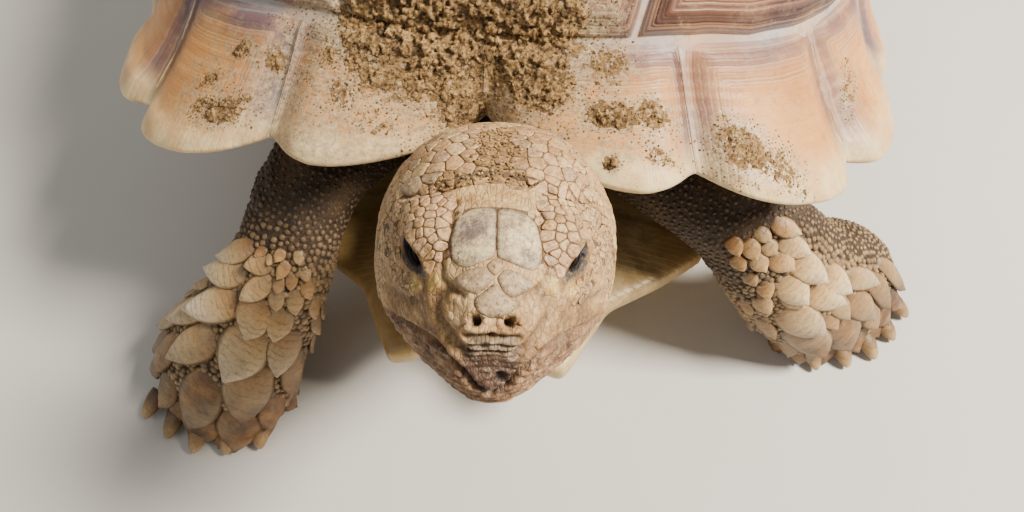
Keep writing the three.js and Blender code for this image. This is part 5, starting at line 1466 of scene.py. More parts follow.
# Shields of the forelegs: share along, turn, length, width and the tilt of the tip in degrees.
SHIELDS = {
    "foreleg_right": [
        (.472, .23, 24, 12, 47), (.528, .23, 26, 17, 35), (.592, .12, 31, 19, 24),
        (.517, -.28, 16, 9.5, 32), (.491, -.17, 11, 9.5, 45), (.465, .02, 6.5, 5.5, 10),
        (.474, -.14, 5, 5, 5), (.454, -.31, 6, 5.5, 0), (.476, -.49, 8, 6, 20), (.446, -.62, 6, 5.5, -20),
        (.569, -.23, 19, 17, 3), (.636, -.37, 26, 22, -6), (.569, -.73, 15, 12.5, -8),
        (.614, -1.05, 21, 17, 6), (.525, -.82, 10, 9, -14), (.502, -1.0, 8, 8, -12),
        (.536, -1.38, 11, 8.5, -14), (.588, -1.59, 14, 9.5, -10), (.569, -1.94, 10, 8, 0),
        (.647, -1.92, 12, 9, 5), (.707, -.62, 27, 23, -4), (.677, -1.36, 21, 15, -5),
        (.712, .16, 23, 18, 12), (.789, -.12, 28, 23, 0), (.872, -.2, 24, 24, 8), (.822, -.76, 28, 22, 6),
        (.66, .55, 26, 14, 14), (.715, .95, 25, 13, 10), (.785, .62, 24, 14, 12), (.80, 1.12, 22, 13, 8),
        (.865, .42, 22, 16, 12), (.88, .95, 19, 14, 8), (.63, 1.0, 16, 9, 14), (.575, .8, 14, 8.5, 20),
        (.52, .66, 12, 8, 26), (.70, 1.42, 16, 10, 5), (.78, -1.3, 20, 15, 6), (.87, -1.2, 18, 15, 4),
        (.745, -1.85, 14, 11, 4), (.835, -1.8, 15, 12, 4), (.539, -.44, 8, 8, -18),
        (.513, -.42, 6, 6, -10), (.498, -.63, 6, 6, -15), (.476, -.82, 6.5, 6.5, -20),
        (.905, .1, 16, 15, 6), (.91, -.65, 16, 15, 4)],
    "foreleg_left": [
        (.361, -.21, 14, 9.5, -22), (.405, -.09, 18, 11.5, -24), (.461, -.05, 25, 15, -14),
        (.572, -.29, 24, 14, -4), (.675, -.40, 21, 12, 7), (.765, -.43, 20, 12, 2),
        (.498, .28, 20, 14.5, -10), (.577, .07, 24, 14.5, -4), (.42, .17, 14, 10, -8),
        (.668, -.05, 18, 11, 12), (.722, -.1, 22, 14, 12), (.80, -.12, 19, 13, 4), (.588, .56, 25, 18, -7),
        (.66, .72, 27, 19, 4), (.547, .40, 13, 9, -12), (.476, .56, 10, 9, 0), (.521, .86, 11, 10, -9),
        (.424, .72, 8, 7.5, -12), (.361, .66, 8, 8, 8), (.39, .37, 9, 9, 2), (.349, .28, 9, 9, 4),
        (.323, .42, 8, 8, 8), (.349, .03, 7, 7.5, 2), (.745, .28, 25, 20, 8), (.69, .18, 12, 10, 14),
        (.79, -.74, 24, 9.5, -2), (.86, -.62, 19, 11, 3), (.383, .1, 7, 8, 0), (.606, 1.12, 13, 10, -5),
        (.536, 1.24, 9, 8, -12), (.735, .62, 22, 15, 10), (.85, -.32, 18, 13, -4), (.70, 1.15, 16, 12, 0),
        (.79, 1.0, 19, 14, 2), (.85, .55, 18, 15, 4), (.87, .08, 17, 14, 0), (.63, 1.6, 10, 8, 0),
        (.74, 1.6, 12, 10, 0), (.83, 1.45, 13, 11, 0), (.90, .85, 13, 12, 0), (.91, -.2, 12, 11, 0)]}


# Share along a shield, and its width there as a share of the widest.
SHIELD_OUTLINE = [0, .12, .3, .5, .7, .85, .95, 1], [.5, .8, .98, 1, .84, .58, .3, .12]
# Thigh spurs: share along the leg, turn from its outer side, length and radius.
SPURS = [(.34, 0, 29, 9), (.42, .5, 24, 7.5), (.44, -.42, 22, 7), (.5, .1, 16, 6)]
# Claws of a foot: their number, half their spread, how far ahead they stand and the length of the longest.
CLAWS = {"foreleg": (5, 27, 20, 17), "hind_leg": (4, 23, 27, 18)}
HIND_SCALES = 9  # in each ring round a hind leg
SHIELD_VALUES = ("tone", "edge", "along", "stain", "atlas")


def along_rings(u, columns):
    """Share of the way for each point of a tube of rings, and for its two ends."""
    return np.append(np.repeat(u, columns, 1).ravel(), [0, 1])


def shield(coat, part, t, turn, length, width, tilt, seed, bend):
    """One overlapping scale: rounded base, swollen back and a tip that stands off the skin."""
    tube = TUBES[part]
    rows, columns = 10, 9
    u = np.linspace(0, 1, rows)[:, None]
    v = np.linspace(-1, 1, columns)[None]
    half = width / 2 * np.interp(u, *SHIELD_OUTLINE)
    radius = np.linalg.norm(tube.point(t, turn + .05) - tube.point(t, turn - .05)) / .1
    a = math.radians(tilt + bend * 8)
    along = u * length
    across = v * half + bend * u * u * length * .1
    at = t + (along * math.cos(a) - across * math.sin(a)) / tube.length
    around = turn + (along * math.sin(a) + across * math.cos(a)) / radius
    at = np.minimum(at, .985)
    lift = length * .13 + .8
    crown = (1 - v * v) ** .8
    back = (.35 + .9 * np.sin(np.clip(u * 1.25, 0, 1) * math.pi / 2)) * crown * width * .11
    rise = -.5 + (.7 + lift * u ** 1.4) * smooth(0, .12, u) + back
    rise = rise + .16 * np.sin(np.clip(1 - u + .55 * v * v, 0, 2) * length * 1.05 + seed) * smooth(.1, .35, u)
    low = np.minimum(rise - 1.0 - .9 * (1 - u), lift * u * .8 - .9)
    skin, normal = tube.point(at, around), tube.normal(at, around)
    top, under = (skin + normal * (height - COAT_DEPTH)[..., None] for height in (rise, low))
    under = under + (top - under) * .12 * np.abs(v)[..., None]
    # Rings run along the scale: over the back and home underneath.
    ring = np.concatenate([top, under[:, ::-1][:, 1:-1]], 1)
    points = with_ends(ring)
    points[:, 2] = np.maximum(points[:, 2], .4)
    loop = ring.shape[1]
    share = along_rings(u, loop)
    side = np.append(np.tile(np.append(np.abs(v), np.abs(v[:, 1:-1])), rows), [1, 1])
    edge = np.maximum(smooth(.75, 1, side), smooth(.14, 0, share))
    spread = np.stack([(share - .5) * 2, side - .5, 0 * share], -1) * MAP_PER_MM
    # The stain value grows towards the ground: soil stain, and partly painted shade low on the leg.
    coat.add(points, closed_grid(rows, loop), tone=(seed * .618) % 1, edge=edge, along=share * length,
             stain=smooth(74, 20, points[:, 2]), atlas=atlas(part, t, turn) + spread)


def claw(mesh, root, ahead, width, length, seed):
    """A blunt digging claw: a bent cone, flat beneath, wider than deep."""
    ahead = unit(ahead)
    side = unit(np.cross(ahead, (0, 0, 1)))
    rows, columns = 12, 14
    u = np.linspace(0, 1, rows)[:, None]
    a = turned(columns)[None]
    half = width / 2 * np.interp(u, [0, .3, .7, .9, 1], [1, .96, .72, .45, .16])
    tall = half * np.where(np.sin(a) > 0, .85, .5)
    drop = -length * .28 * u ** 1.8
    p = (np.array(root) + ahead * (u * length)[..., None] + side * (np.cos(a) * half)[..., None])
    p[..., 2] += (np.sin(a) * tall) + drop
    p += .12 * value_noise(p, 1.6, seed)[..., None]
    p[..., 2] = np.maximum(p[..., 2], .3)
    mesh.add(with_ends(p), closed_grid(rows, columns), along=along_rings(u, columns))


def add_claws(horns, part):
    """Claws round the front of a foot, the middle ones largest."""
    count, spread, reach, length = CLAWS[part.rsplit("_", 1)[0]]
    tube = TUBES[part]
    centre = tube.frame(np.array(.96))[0]
    ahead = unit(np.array(tube.toes) * [1, 1, 0])
    side = np.cross(ahead, (0, 0, 1))
    for k in range(count):
        share = (k / (count - 1) - .5) * 2
        bow = reach * (1 - .32 * share * share)
        root = centre * [1, 1, 0] + side * share * spread + ahead * bow + [0, 0, 7.6]
        claw(horns, root, ahead + side * share * .32, 12 - 1.5 * abs(share), length - 3 * abs(share),
             len(horns.points))


def dress_legs(scale, horn):
    """Shields and flat scales of all four legs, and the horny claws and thigh spurs."""
    coats, horns = [], Mesh("along")
    for part, rows in SHIELDS.items():
        coat = Mesh(*SHIELD_VALUES)
        rng = np.random.default_rng(len(part) * 7)
        for k, row in enumerate(rows):
            shield(coat, part, *row, seed=k, bend=rng.uniform(-1, 1))
        add_claws(horns, part)
        coats.append(coat.build(part + "_shields", scale))
    for part in ("hind_leg_right", "hind_leg_left"):
        coat = Mesh(*SHIELD_VALUES)
        rng = np.random.default_rng(len(part) * 11)
        for row, t in enumerate(np.linspace(.5, .9, 7)):
            for k in range(HIND_SCALES):
                turn = 2 * math.pi * (k + .5 * (row % 2)) / HIND_SCALES
                big = 1 + .35 * math.cos(turn - math.pi)
                shield(coat, part, t + rng.uniform(-.01, .01), turn + rng.uniform(-.06, .06),
                       13 * big * rng.uniform(.85, 1.15), 11.5 * big * rng.uniform(.85, 1.1),
                       rng.uniform(-9, 9), seed=row * HIND_SCALES + k, bend=rng.uniform(-1, 1))
        add_claws(horns, part)
        out = 1 if part.endswith("left") else -1
        tube = TUBES[part]
        for t, turn, length, radius in SPURS:
            t, at = np.array(t), np.array(math.pi + turn * out)
            n, tangent = tube.normal(t, at), tube.frame(t)[1]
            spur(horns, tube.point(t, at) - n * 5, unit(n + .5 * tangent), radius, length, tangent,
                 len(horns.points))
        coats.append(coat.build(part + "_scales", scale))
    return coats, horns.build("claws_and_spurs", horn)


def spur(mesh, root, ahead, radius, length, bend, seed):
    """A conical thigh spur, fluted and a little bent."""
    side, up = tangents(ahead)
    rows, columns = 14, 18
    u = np.linspace(0, 1, rows)[:, None]
    a = turned(columns)[None]
    r = radius * np.interp(u, [0, .2, .45, .7, .88, .96, 1], [1, .93, .74, .5, .27, .14, .05])
    r = r * (1 + .05 * np.cos(a * 7 + seed)) + .25 * np.sin(u * 22)
    p = (np.array(root) + ahead * (u * length)[..., None] + side * (np.cos(a) * r)[..., None]
         + up * (np.sin(a) * r)[..., None] + np.array(bend) * (u ** 2 * length * .16)[..., None])
    mesh.add(with_ends(p), closed_grid(rows, columns), along=along_rings(u, columns))


def shield_material():
    """Thick horny leg scales: cream worn tips over brown roots, growth lines across, waxy where rubbed."""
    m = Paint("thick_leg_scales")
    along = m.plus(m.value("along"), m.sway(5.0, [6]))
    body = m.ramp(m.maths("DIVIDE", along, 26.0), [
        (0, "#3f2b18"), (.1, "#735433"), (.28, "#b8905c"), (.55, "#e0c594"), (1, "#faeed2")])
    warm = m.ramp(m.value("tone"), [
        (0, "#8f693f"), (.3, "#c6975a"), (.5, "#a58d62"), (.75, "#dcbb84"), (1, "#b47d42")])
    colour = m.blend(.34, body, warm)
    # Scales near the ground are browner and darker: soil stain, and partly painted shade.
    low = m.times(m.value("stain"), m.mottle([30], [(.35, .65), (.6, 1.0)]))
    colour = m.blend(low, colour, m.mottle([12, 4.0], [(.38, "#402812"), (.55, "#6c4722"), (.7, "#976c3b")]))
    line = m.ramp(m.maths("FRACT", m.times(along, .34)), [(0, 1.0), (.18, 0.0), (.85, 0.0), (1, 1.0)])
    faint = m.times(line, m.mottle([7, 4.0], [(.4, .12), (.6, .5)]))
    colour = m.blend(faint, colour, "#6a4a2c")
    colour = m.spots(colour, [8, 5.0, .65], .5, .64, .35, "#a08a6c")  # worn spots
    colour = m.spots(colour, [1.8, 5.0, .75], .5, .38, .35, "#5f4327")  # specks
    rim = m.ramp(m.value("edge"), [(.35, 0.0), (1, 1.0)])
    colour = m.blend(m.times(rim, .75), colour, "#402a16")
    relief = m.plus(m.times(faint, -1.0), m.times(m.noise(1.3, 5.0, .7), .6))
    return m.done(colour, relief, m.patchy([5], .3, .3), .5, .0007, ior=1.52)


def claw_material():
    """Blunt worn horn: dark brown at the root, paler and scratched at the tip, with lengthwise fibres."""
    m = Paint("worn_claw_horn")
    along = m.plus(m.value("along"), m.sway(.5, [5]))
    colour = m.ramp(along, [(0, "#3b2817"), (.35, "#5f4527"), (.75, "#94744a"), (1, "#bfa273")])
    colour = m.spots(colour, [1.5, 5.0, .7], .45, .65, .4, "#3b2a1c")
    return m.done(colour, m.noise(1.0, 5.0, .7), m.patchy([3], .3, .28), .5, .0005, ior=1.54)


def eyeballs(material):
    """Both eyes: a ball with the clear bulge of the cornea."""
    mesh, rows, columns = Mesh(), 36, 48
    for side in (1, -1):
        centre, look, along, across = eye_frame(side)
        u, a = np.meshgrid(np.linspace(.02, math.pi - .02, rows), turned(columns), indexing="ij")
        way = (look * np.cos(u)[..., None] + along * (np.sin(u) * np.cos(a))[..., None]
               + across * (np.sin(u) * np.sin(a))[..., None])
        p = centre + way * (EYE_RADIUS + .35 * smooth(.75, .2, u))[..., None]
        ends = [centre + look * (EYE_RADIUS + .35), centre - look * EYE_RADIUS]
        mesh.add(from_head(np.concatenate([p.reshape(-1, 3), ends])), closed_grid(rows, columns))
    return mesh.build("eyes", material)


# ---------------- small scales, by Geometry Nodes

def tubercle_form():
    """One small rounded scale, 1 mm across its half width, its foot a little in the skin."""
    rings, sides = [(1, -.45), (.95, .12), (.66, .5), (.3, .66)], 7
    points = [[r * math.cos(k), r * math.sin(k), h] for r, h in rings for k in turned(sides)]
    points = np.array(points + [[0, 0, -.45], [0, 0, .7]])
    mesh = bpy.data.meshes.new("tubercle_form")
    mesh.from_pydata((points / 1000).tolist(), [], closed_grid(len(rings), sides))
    finish_normals(mesh)
    point_values(mesh, "local", points * [1, 1, 0])
    point_values(mesh, "edge", np.append(np.repeat(1 - np.arange(len(rings)) / len(rings), sides), [1, 0]))
    return linked("tubercle_form", mesh)


MOST_DENSE = 600000.0  # scales to the square metre, before they are thinned to their spacing


def tubercle_tree():
    """Spreads one form evenly over a surface, turned to it, sized by the surface's own attributes."""
    tree = bpy.data.node_groups.new("grown_tubercles", "GeometryNodeTree")
    inputs = {"Geometry": "Geometry", "Form": "Object", "Spacing": "Float", "Seed": "Int",
              "Flatness": "Float", "Material": "Material"}
    for name, kind in inputs.items():
        tree.interface.new_socket(name, in_out="INPUT", socket_type="NodeSocket" + kind)
    tree.interface.new_socket("Geometry", in_out="OUTPUT", socket_type="NodeSocketGeometry")
    given = node(tree, "NodeGroupInput").outputs

    def named(name, kind="FLOAT"):
        return node(tree, "GeometryNodeInputNamedAttribute", {"Name": name}, data_type=kind).outputs[0]

    def random(low, high, seed):
        new = node(tree, "FunctionNodeRandomValue", {2: low, 3: high, "Seed": seed}, data_type="FLOAT")
        return new.outputs[1]

    def times(a, b):
        return node(tree, "ShaderNodeMath", {0: a, 1: b}, operation="MULTIPLY").outputs[0]

    scatter = node(tree, "GeometryNodeDistributePointsOnFaces",
                   {"Mesh": given["Geometry"], "Distance Min": given["Spacing"], "Density Max": MOST_DENSE,
                    "Density Factor": named("density"), "Seed": given["Seed"]}, distribute_method="POISSON")
    toned = node(tree, "GeometryNodeStoreNamedAttribute",
                 {"Geometry": scatter.outputs["Points"], "Name": "tone", "Value": random(0.0, 1.0, 3)},
                 data_type="FLOAT", domain="POINT").outputs[0]
    spin = node(tree, "FunctionNodeAxisAngleToRotation", {"Axis": (0, 0, 1), "Angle": random(0.0, 6.28, 5)})
    spun = node(tree, "FunctionNodeRotateRotation", {0: scatter.outputs["Rotation"], 1: spin.outputs[0]},
                rotation_space="LOCAL")
    size = times(named("size"), random(.78, 1.18, 9))
    scale = node(tree, "ShaderNodeCombineXYZ", {0: times(size, random(.85, 1.2, 11)), 1: size,
                                                2: times(size, given["Flatness"])})
    form = node(tree, "GeometryNodeObjectInfo", {"Object": given["Form"]})
    placed = node(tree, "GeometryNodeInstanceOnPoints",
                  {"Points": toned, "Instance": form.outputs["Geometry"], "Rotation": spun.outputs[0],
                   "Scale": scale.outputs[0]})
    whole = node(tree, "GeometryNodeRealizeInstances", {0: placed.outputs[0]})
    small = node(tree, "ShaderNodeVectorMath", {0: named("local", "FLOAT_VECTOR"), 3: MAP_PER_MM},
                 operation="SCALE")
    where = node(tree, "ShaderNodeVectorMath", {0: named("atlas", "FLOAT_VECTOR"), 1: small.outputs[0]},
                 operation="ADD")
    mapped = node(tree, "GeometryNodeStoreNamedAttribute",
                  {"Geometry": whole.outputs[0], "Name": "OFBake", "Value": where.outputs[0]},
                  data_type="FLOAT2", domain="CORNER")
    coated = node(tree, "GeometryNodeSetMaterial",
                  {"Geometry": mapped.outputs[0], "Material": given["Material"]})
    node(tree, "NodeGroupOutput", {"Geometry": coated.outputs[0]})
    return tree


def grown_on(surface, tree, **inputs):
    """A mesh of what the nodes grow on a surface, with their inputs by name."""
    modifier = surface.modifiers.new("grow", "NODES")
    modifier.node_group = tree
    for item in tree.interface.items_tree:
        if item.in_out == "INPUT" and item.name in inputs:
            modifier[item.identifier] = inputs[item.name]
    mesh = evaluated(surface)
    surface.modifiers.remove(modifier)
    for key in ("atlas", "local", "density", "size"):
        if key in mesh.attributes:
            mesh.attributes.remove(mesh.attributes[key])
    return mesh


def everywhere(t, turn, p):
    return smooth(.03, .09, t) * smooth(.6, 2.5, p[..., 2])


def leg_size(t, turn, p):
    return 1.0 + 1.25 * smooth(.3, .6, t) - .5 * smooth(.93, .99, t)


def sandy_size(t, turn, p):
    """Smaller on the outer side, where the scales lie like sand."""
    turn = (turn + math.pi) % (2 * math.pi) - math.pi
    outer = smooth(-.5, -1.0, turn) * smooth(-2.6, -2.1, turn)
    return leg_size(t, turn, p) * (1 - .45 * outer * smooth(.25, .4, t))


def neck_size(t, turn, p):
    return .95 + .35 * smooth(.5, .95, t)


def tail_size(t, turn, p):
    return 1.9 - .9 * t


# Size, spacing in mm and flatness of the small scales of each limb.
SMALL_SCALES = {"foreleg_right": (leg_size, 2.7, .85), "foreleg_left": (sandy_size, 2.5, .85),
                "hind_leg_right": (leg_size, 3.0, .8), "hind_leg_left": (leg_size, 3.0, .8),
                "neck": (neck_size, 2.1, .6), "tail": (tail_size, 2.9, .6)}


def dress_limbs(material):
    """Fine scales over every limb, the neck and the tail: smallest high on the legs and on the neck."""
    form, tree, coats = tubercle_form(), tubercle_tree(), []
    for number, (part, (size, spacing, flatness)) in enumerate(SMALL_SCALES.items()):
        p, t, turn = tube_grid(part)
        mesh = Mesh("size", "density", "limb")
        # Painted shade of the shell: the scales high on the legs are darkened, and those of the neck and tail
        # half as much.
        limb = smooth(.6, .36, t).ravel() if "leg" in part else .5
        mesh.add(p, grid_faces(*p.shape[:2]).tolist(), size=size(t, turn, p).ravel(),
                 density=everywhere(t, turn, p).ravel(), limb=limb)
        coat = mesh.build(part + "_small_scales", material)
        point_values(coat.data, "atlas", atlas(part, t, turn).reshape(-1, 3))
        grown = grown_on(coat, tree, Form=form, Spacing=spacing / 1000, Seed=number + 1, Flatness=flatness,
                         Material=material)
        coat.data, grown.name = grown, coat.name
        points = mesh_points(grown)
        points[:, 2] = np.maximum(points[:, 2], .0003)
        move_points(grown, points)
        shade(grown)
        print(coat.name, len(grown.polygons), "faces", [layer.name for layer in grown.uv_layers])
        coats.append(coat)
    bpy.data.objects.remove(form)
    return coats


def tubercle_material():
    """Small domed scales: pale tops over darker brown feet, matt, the tone different on each."""
    m = Paint("dusty_small_scales")
    colour = m.ramp(m.value("tone"), [(0, "#5c442b"), (.35, "#866841"), (.65, "#a08156"), (1, "#c3a678")])
    shade = m.mottle([24, 3.0], [(.36, "#5c452f"), (.6, "#a68a63")])
    colour = m.blend(.45, colour, shade)
    # Painted shade of the shell, high on the legs and on the neck and tail.
    colour = m.blend(m.times(m.value("limb"), .78), colour, "#35271a")
    rim = m.ramp(m.value("edge"), [(.3, 0.0), (.85, 1.0)])
    colour = m.blend(m.times(rim, .8), colour, "#33261a")
    colour = m.spots(colour, [1.0, 4.0, .7], .56, .42, .3, "#5a4229")  # specks
    return m.done(colour, m.noise(.7, 4.0, .7), m.patchy([5], .25, .42), .4, .0003, ior=1.48)


# ---------------- plastron and soil

PLASTRON_SEAMS = [-168, -128, -70, -8, 62, 120]  # across the animal, front to rear


def dress_plastron(material):
    """The belly shell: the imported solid's own form with worn round edges and the seams of its plates."""
    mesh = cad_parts["plastron"].data.copy()
    piece = linked("plastron_scutes", edited(mesh, (bmesh.ops.remove_doubles, "verts", {"dist": 1e-5})))
    remesh = piece.modifiers.new("even", "REMESH")
    remesh.mode, remesh.voxel_size = "VOXEL", .0018
    soften = piece.modifiers.new("worn", "SMOOTH")
    soften.factor, soften.iterations = .5, 26
    mesh = piece.data = evaluated(piece)
    piece.modifiers.clear()
    points = mesh_points(mesh)
    p = points * 1000 - SHIFT
    wander = 3 * value_noise(p, 40, 51)
    gap = np.abs(p[:, 0] + .4 * wander)
    for y in PLASTRON_SEAMS:
        bow = .0016 * p[:, 0] ** 2 * math.copysign(1, y + 100)
        gap = np.minimum(gap, np.abs(p[:, 1] + wander - y - bow))
    normals = np.empty(len(p) * 3)
    mesh.vertices.foreach_get("normal", normals)
    rings = .12 * np.sin(gap * 1.6) * smooth(26, 4, gap)
    move = -.7 * smooth(1.8, .2, gap) + rings + .25 * fractal(p, 9, 52)
    points += normals.reshape(-1, 3) * (move / 1000)[:, None]
    # The bridge rises in a curve behind the arm and before the thigh.
    up = smooth(64, 92, p[:, 2])
    slant = 34 * up * smooth(-40, -112, p[:, 1]) - 30 * up * smooth(30, 92, p[:, 1])
    points[:, 1] += slant * smooth(70, 100, np.abs(p[:, 0])) / 1000
    move_points(mesh, points)
    point_values(mesh, "inset", gap)
    shade(mesh)
    mesh.materials.clear()
    mesh.materials.append(material)
    return piece


def plastron_material():
    """Smooth cream horn with brown water stains, a soft polish on its worn middle."""
    m = Paint("cream_plastron_horn")
    colour = m.mottle([60, 4.0, .6], [(.36, "#9c7c48"), (.5, "#b5945c"), (.62, "#cbb27e")])
    stain = m.mottle([34, 6.0, .7, 1.0], [(.53, 0.0), (.6, .8), (.72, 1.0)])
    colour = m.blend(m.times(stain, .5), colour, "#8a6540")
    line = m.ramp(m.maths("DIVIDE", m.value("inset"), 30.0), [(0, 1.0), (.05, .5), (.12, 0.0)])
    colour = m.blend(m.times(line, .55), colour, "#6d5133")
    fibre = m.ramp(m.maths("FRACT", m.times(m.plus(m.value("inset"), m.noise(9)), .3)),
                 [(0, 1.0), (.2, 0.0), (1, .3)])
    colour = m.blend(m.times(fibre, .14), colour, "#9a7a50")
    colour = m.spots(colour, [2.2, 5.0, .75], .46, .36, .4, "#7d6244")
    return m.done(colour, m.plus(m.noise(3, 5.0, .7), fibre), m.patchy([12], .3, .25),
           .35, .0006, ior=1.54)


# Ends and step in X and in Y of the grid that soil falls from, its height and how far down it looks.
SOIL_AREA, SOIL_START, SOIL_REACH = ((-126, 154, .52), (-352, -176, .56)), 300, 330


def soil_sheet(material, over):
    """Dried soil as grains stuck to the shell, and a sheet under it for loose crumbs round about."""
    x, y = np.meshgrid(*(np.arange(*side) for side in SOIL_AREA), indexing="ij")
    start, down = np.stack([x, y, 0 * x + SOIL_START], -1).reshape(-1, 3), unit([0, .5, -.87])
    ground, lean = np.full((len(start), 3), np.nan), np.tile((0, 0, 1.0), (len(start), 1))
    for k, origin in enumerate(start):
        hit = over.ray_cast(Vector(origin), Vector(down), SOIL_REACH)
        if hit[0] is not None:
            ground[k], lean[k] = hit[0], hit[1]
    lean = unit(lean * np.sign(-lean @ down)[:, None] + [0, -.2, .5])
    p = np.nan_to_num(ground)
    near = soil_mask(p, 1.45)
    found = near > .08
    bent = p + .8 * noise_vector(p, 2.9, 75)
    away, own = granules(bent, 2.2, 61)
    away2, own2 = granules(bent, 1.2, 62)
    ragged = soil_mask(p) + .42 * fractal(p, 15, 63, 4)
    here, here2 = smooth(.34, .46, ragged + .5 * (own - .5)), smooth(.3, .42, ragged + .6 * (own2 - .5))
    hole = np.maximum(smooth(-.2, -.42, value_noise(p, 3.8, 68)), smooth(-.3, -.5, value_noise(p, 2.0, 70)))
    hole *= smooth(.3, .6, ragged)
    bulk = .42 + .58 * smooth(.8, 1.0, soil_mask(p))
    dome, dome2 = (np.sqrt(np.maximum(1 - (far / .8) ** 2, 0)) for far in (away, away2))
    thick = -.6 + .75 * smooth(.45, .95, ragged) + bulk * (
        1.15 * here * dome * (.35 + own) + 1.0 * here2 * dome2 * (.3 + own2))
    thick = np.maximum(thick - (.4 + 1.1 * bulk) * hole, -.6)
    rise = p + lean * thick[:, None] + .2 * noise_vector(p, 1.2, 71)
    # Painted shade between the grains and in the holes.
    pit = np.clip(smooth(.4, .8, away) * .7 + smooth(.5, .85, away2) * .5 + hole - .3 * dome2, 0, 1)
    index = np.arange(x.size).reshape(x.shape)
    corners = np.stack([index[:-1, :-1], index[1:, :-1], index[1:, 1:], index[:-1, 1:]], -1).reshape(-1, 4)
    diagonal = np.linalg.norm(p[corners[:, 0]] - p[corners[:, 2]], axis=1)
    corners = corners[found[corners].all(1) & (diagonal < 7)]
    pieces = []
    stuck = corners[(thick[corners] > -.4).any(1)]
    fringe = smooth(.05, .6, near + .5 * fractal(p, 9, 69)) * .9
    for name, points, faces, loose, size in (
            ("dried_soil", rise, stuck, smooth(.4, .6, ragged), .42 + .38 * own),
            ("soil_fringe", ground, corners, fringe, .28 + .4 * own)):
        used = np.unique(faces)
        renumber = np.full(x.size, -1)
        renumber[used] = np.arange(len(used))
        mesh = Mesh("pit", "density", "size")
        mesh.add(points[used], renumber[faces].tolist(), pit=pit[used], density=loose[used], size=size[used])
        pieces.append(mesh.build(name, material))
    return pieces


def crumb_form():
    """One clod of soil, about 2 mm across, with uneven sides."""
    bm = bmesh.new()
    bmesh.ops.create_icosphere(bm, subdivisions=1, radius=1)
    mesh = bpy.data.meshes.new("crumb_form")
    bm.to_mesh(mesh)
    bm.free()
    points = mesh_points(mesh)
    points *= (1 + .35 * value_noise(points, .6, 81))[:, None] * [1, .8, .7] / 1000
    move_points(mesh, points)
    return linked("crumb_form", mesh)


def scatter_crumbs(name, surface, spacing, tree, material, seed):
    """Loose crumbs over a surface by its density and size, applied to plain mesh."""
    form = crumb_form()
    mesh = grown_on(surface, tree, Form=form, Spacing=spacing / 1000, Seed=seed, Flatness=.9,
                    Material=material)
    bpy.data.objects.remove(form)
    if "OFBake" in mesh.attributes:
        mesh.attributes.remove(mesh.attributes["OFBake"])
    shade(mesh, False)
    print(name, len(mesh.polygons), "faces")
    return linked(name, mesh)


def soil_material():
    """Dry earth: no gloss, crumbly at every size, with painted shade in its pits and between its grains, and
    dusty on top.
    """
    m = Paint("dry_crumbled_earth")
    colour = m.mottle([2.6, 6.0, .8], [
        (.34, "#4d361d"), (.44, "#8b693e"), (.55, "#b8945f"), (.66, "#dcbf8c")])
    # Painted shade in the pits.
    colour = m.blend(m.times(m.value("pit"), .92), colour, "#1d1208")
    tone = m.ramp(m.value("tone"), [(0, "#4a331b"), (1, "#a98a5c")])
    colour = m.blend(.2, colour, tone)
    # Dark specks: painted shade of the grains.
    colour = m.spots(colour, [1.3, 3.0, .65], .47, .4, .6, "#2b1c0d")  # specks
    return m.done(colour, m.noise(.9, 5.0, .8), .95, .9, .0006)


# ---------------- the model

# Soil on the shell: X, Y, half width, half length and thickness of each patch.
SOIL_PATCHES = [
    (-20, -188, 36, 24, 1.0), (14, -190, 23, 19, 1.0), (-45, -190, 12, 15, .85), (-30, -204, 20, 9, .8),
    (-8, -208, 14, 8, .85), (21, -204, 14, 9, .85), (48, -211, 12, 4.5, .9), (62, -209, 8, 5, .75),
    (44, -197, 9, 7, .68), (66, -221, 7, 3, .6), (49, -225, 3, 2.4, .95), (-52, -211, 6, 5, .6),
    (-57, -200, 5, 4, .5), (98, -212, 12, 8, .82), (112, -214, 10, 7, .62), (91, -208, 6, 5, .7),
    (119, -218, 6, 4, .6), (-94, -193, 4.5, 3, .8), (-80, -198, 5, 4, .85), (-108, -200, 6, 3.5, .62),
    (-100, -213, 10, 5.5, .85), (-110, -209, 6, 4, .7), (-92, -210, 5, 3, .62), (145, -164, 4, 10, .55),
    (-40, -218, 9, 4, .5)]
# Where a film of dust dulls the horn, in the same way.
DUST_PATCHES = [
    (-52, -214, 42, 26, .8), (10, -212, 40, 22, .75), (52, -214, 26, 14, .6), (-98, -205, 32, 20, .62),
    (104, -214, 26, 12, .5)]
# Where the rim is scraped down to cream horn.
CHIPS = [(-60, -227, 13, 7, 1.0), (50, -226, 13, 5, .9), (118, -216, 20, 6, .7)]


def soil_mask(points, spread=1.0, patches=SOIL_PATCHES):
    """How much soil lies on points of the own frame, from 0 to 1."""
    p = np.asarray(points, float)
    mask = np.zeros(len(p))
    for x, y, wide, long, depth in patches:
        d = np.hypot((p[:, 0] - x) / (wide * spread), (p[:, 1] - y) / (long * spread))
        mask = np.maximum(mask, depth * smooth(1.4, .45, d))
    return mask * smooth(105, 125, p[:, 2])


def head_soil(p):
    """Crumbs on the crown and along its fold."""
    x, y, z = np.moveaxis(np.asarray(p), -1, 0)
    crown = smooth(1.2, .5, np.hypot((x + .6) / 8.5, (y - 10) / 19))
    fold = smooth(3.6, 1.2, np.abs(y - curve(CROWN_FOLD, np.abs(x)) - 1.4)) * smooth(17, 11, np.abs(x + 5))
    most = np.maximum(crown, fold) * smooth(18, 22, z)
    return np.clip(most * 1.1 + .5 * value_noise(p, 5, 91) - .15, 0, 1) * smooth(0, .3, most)


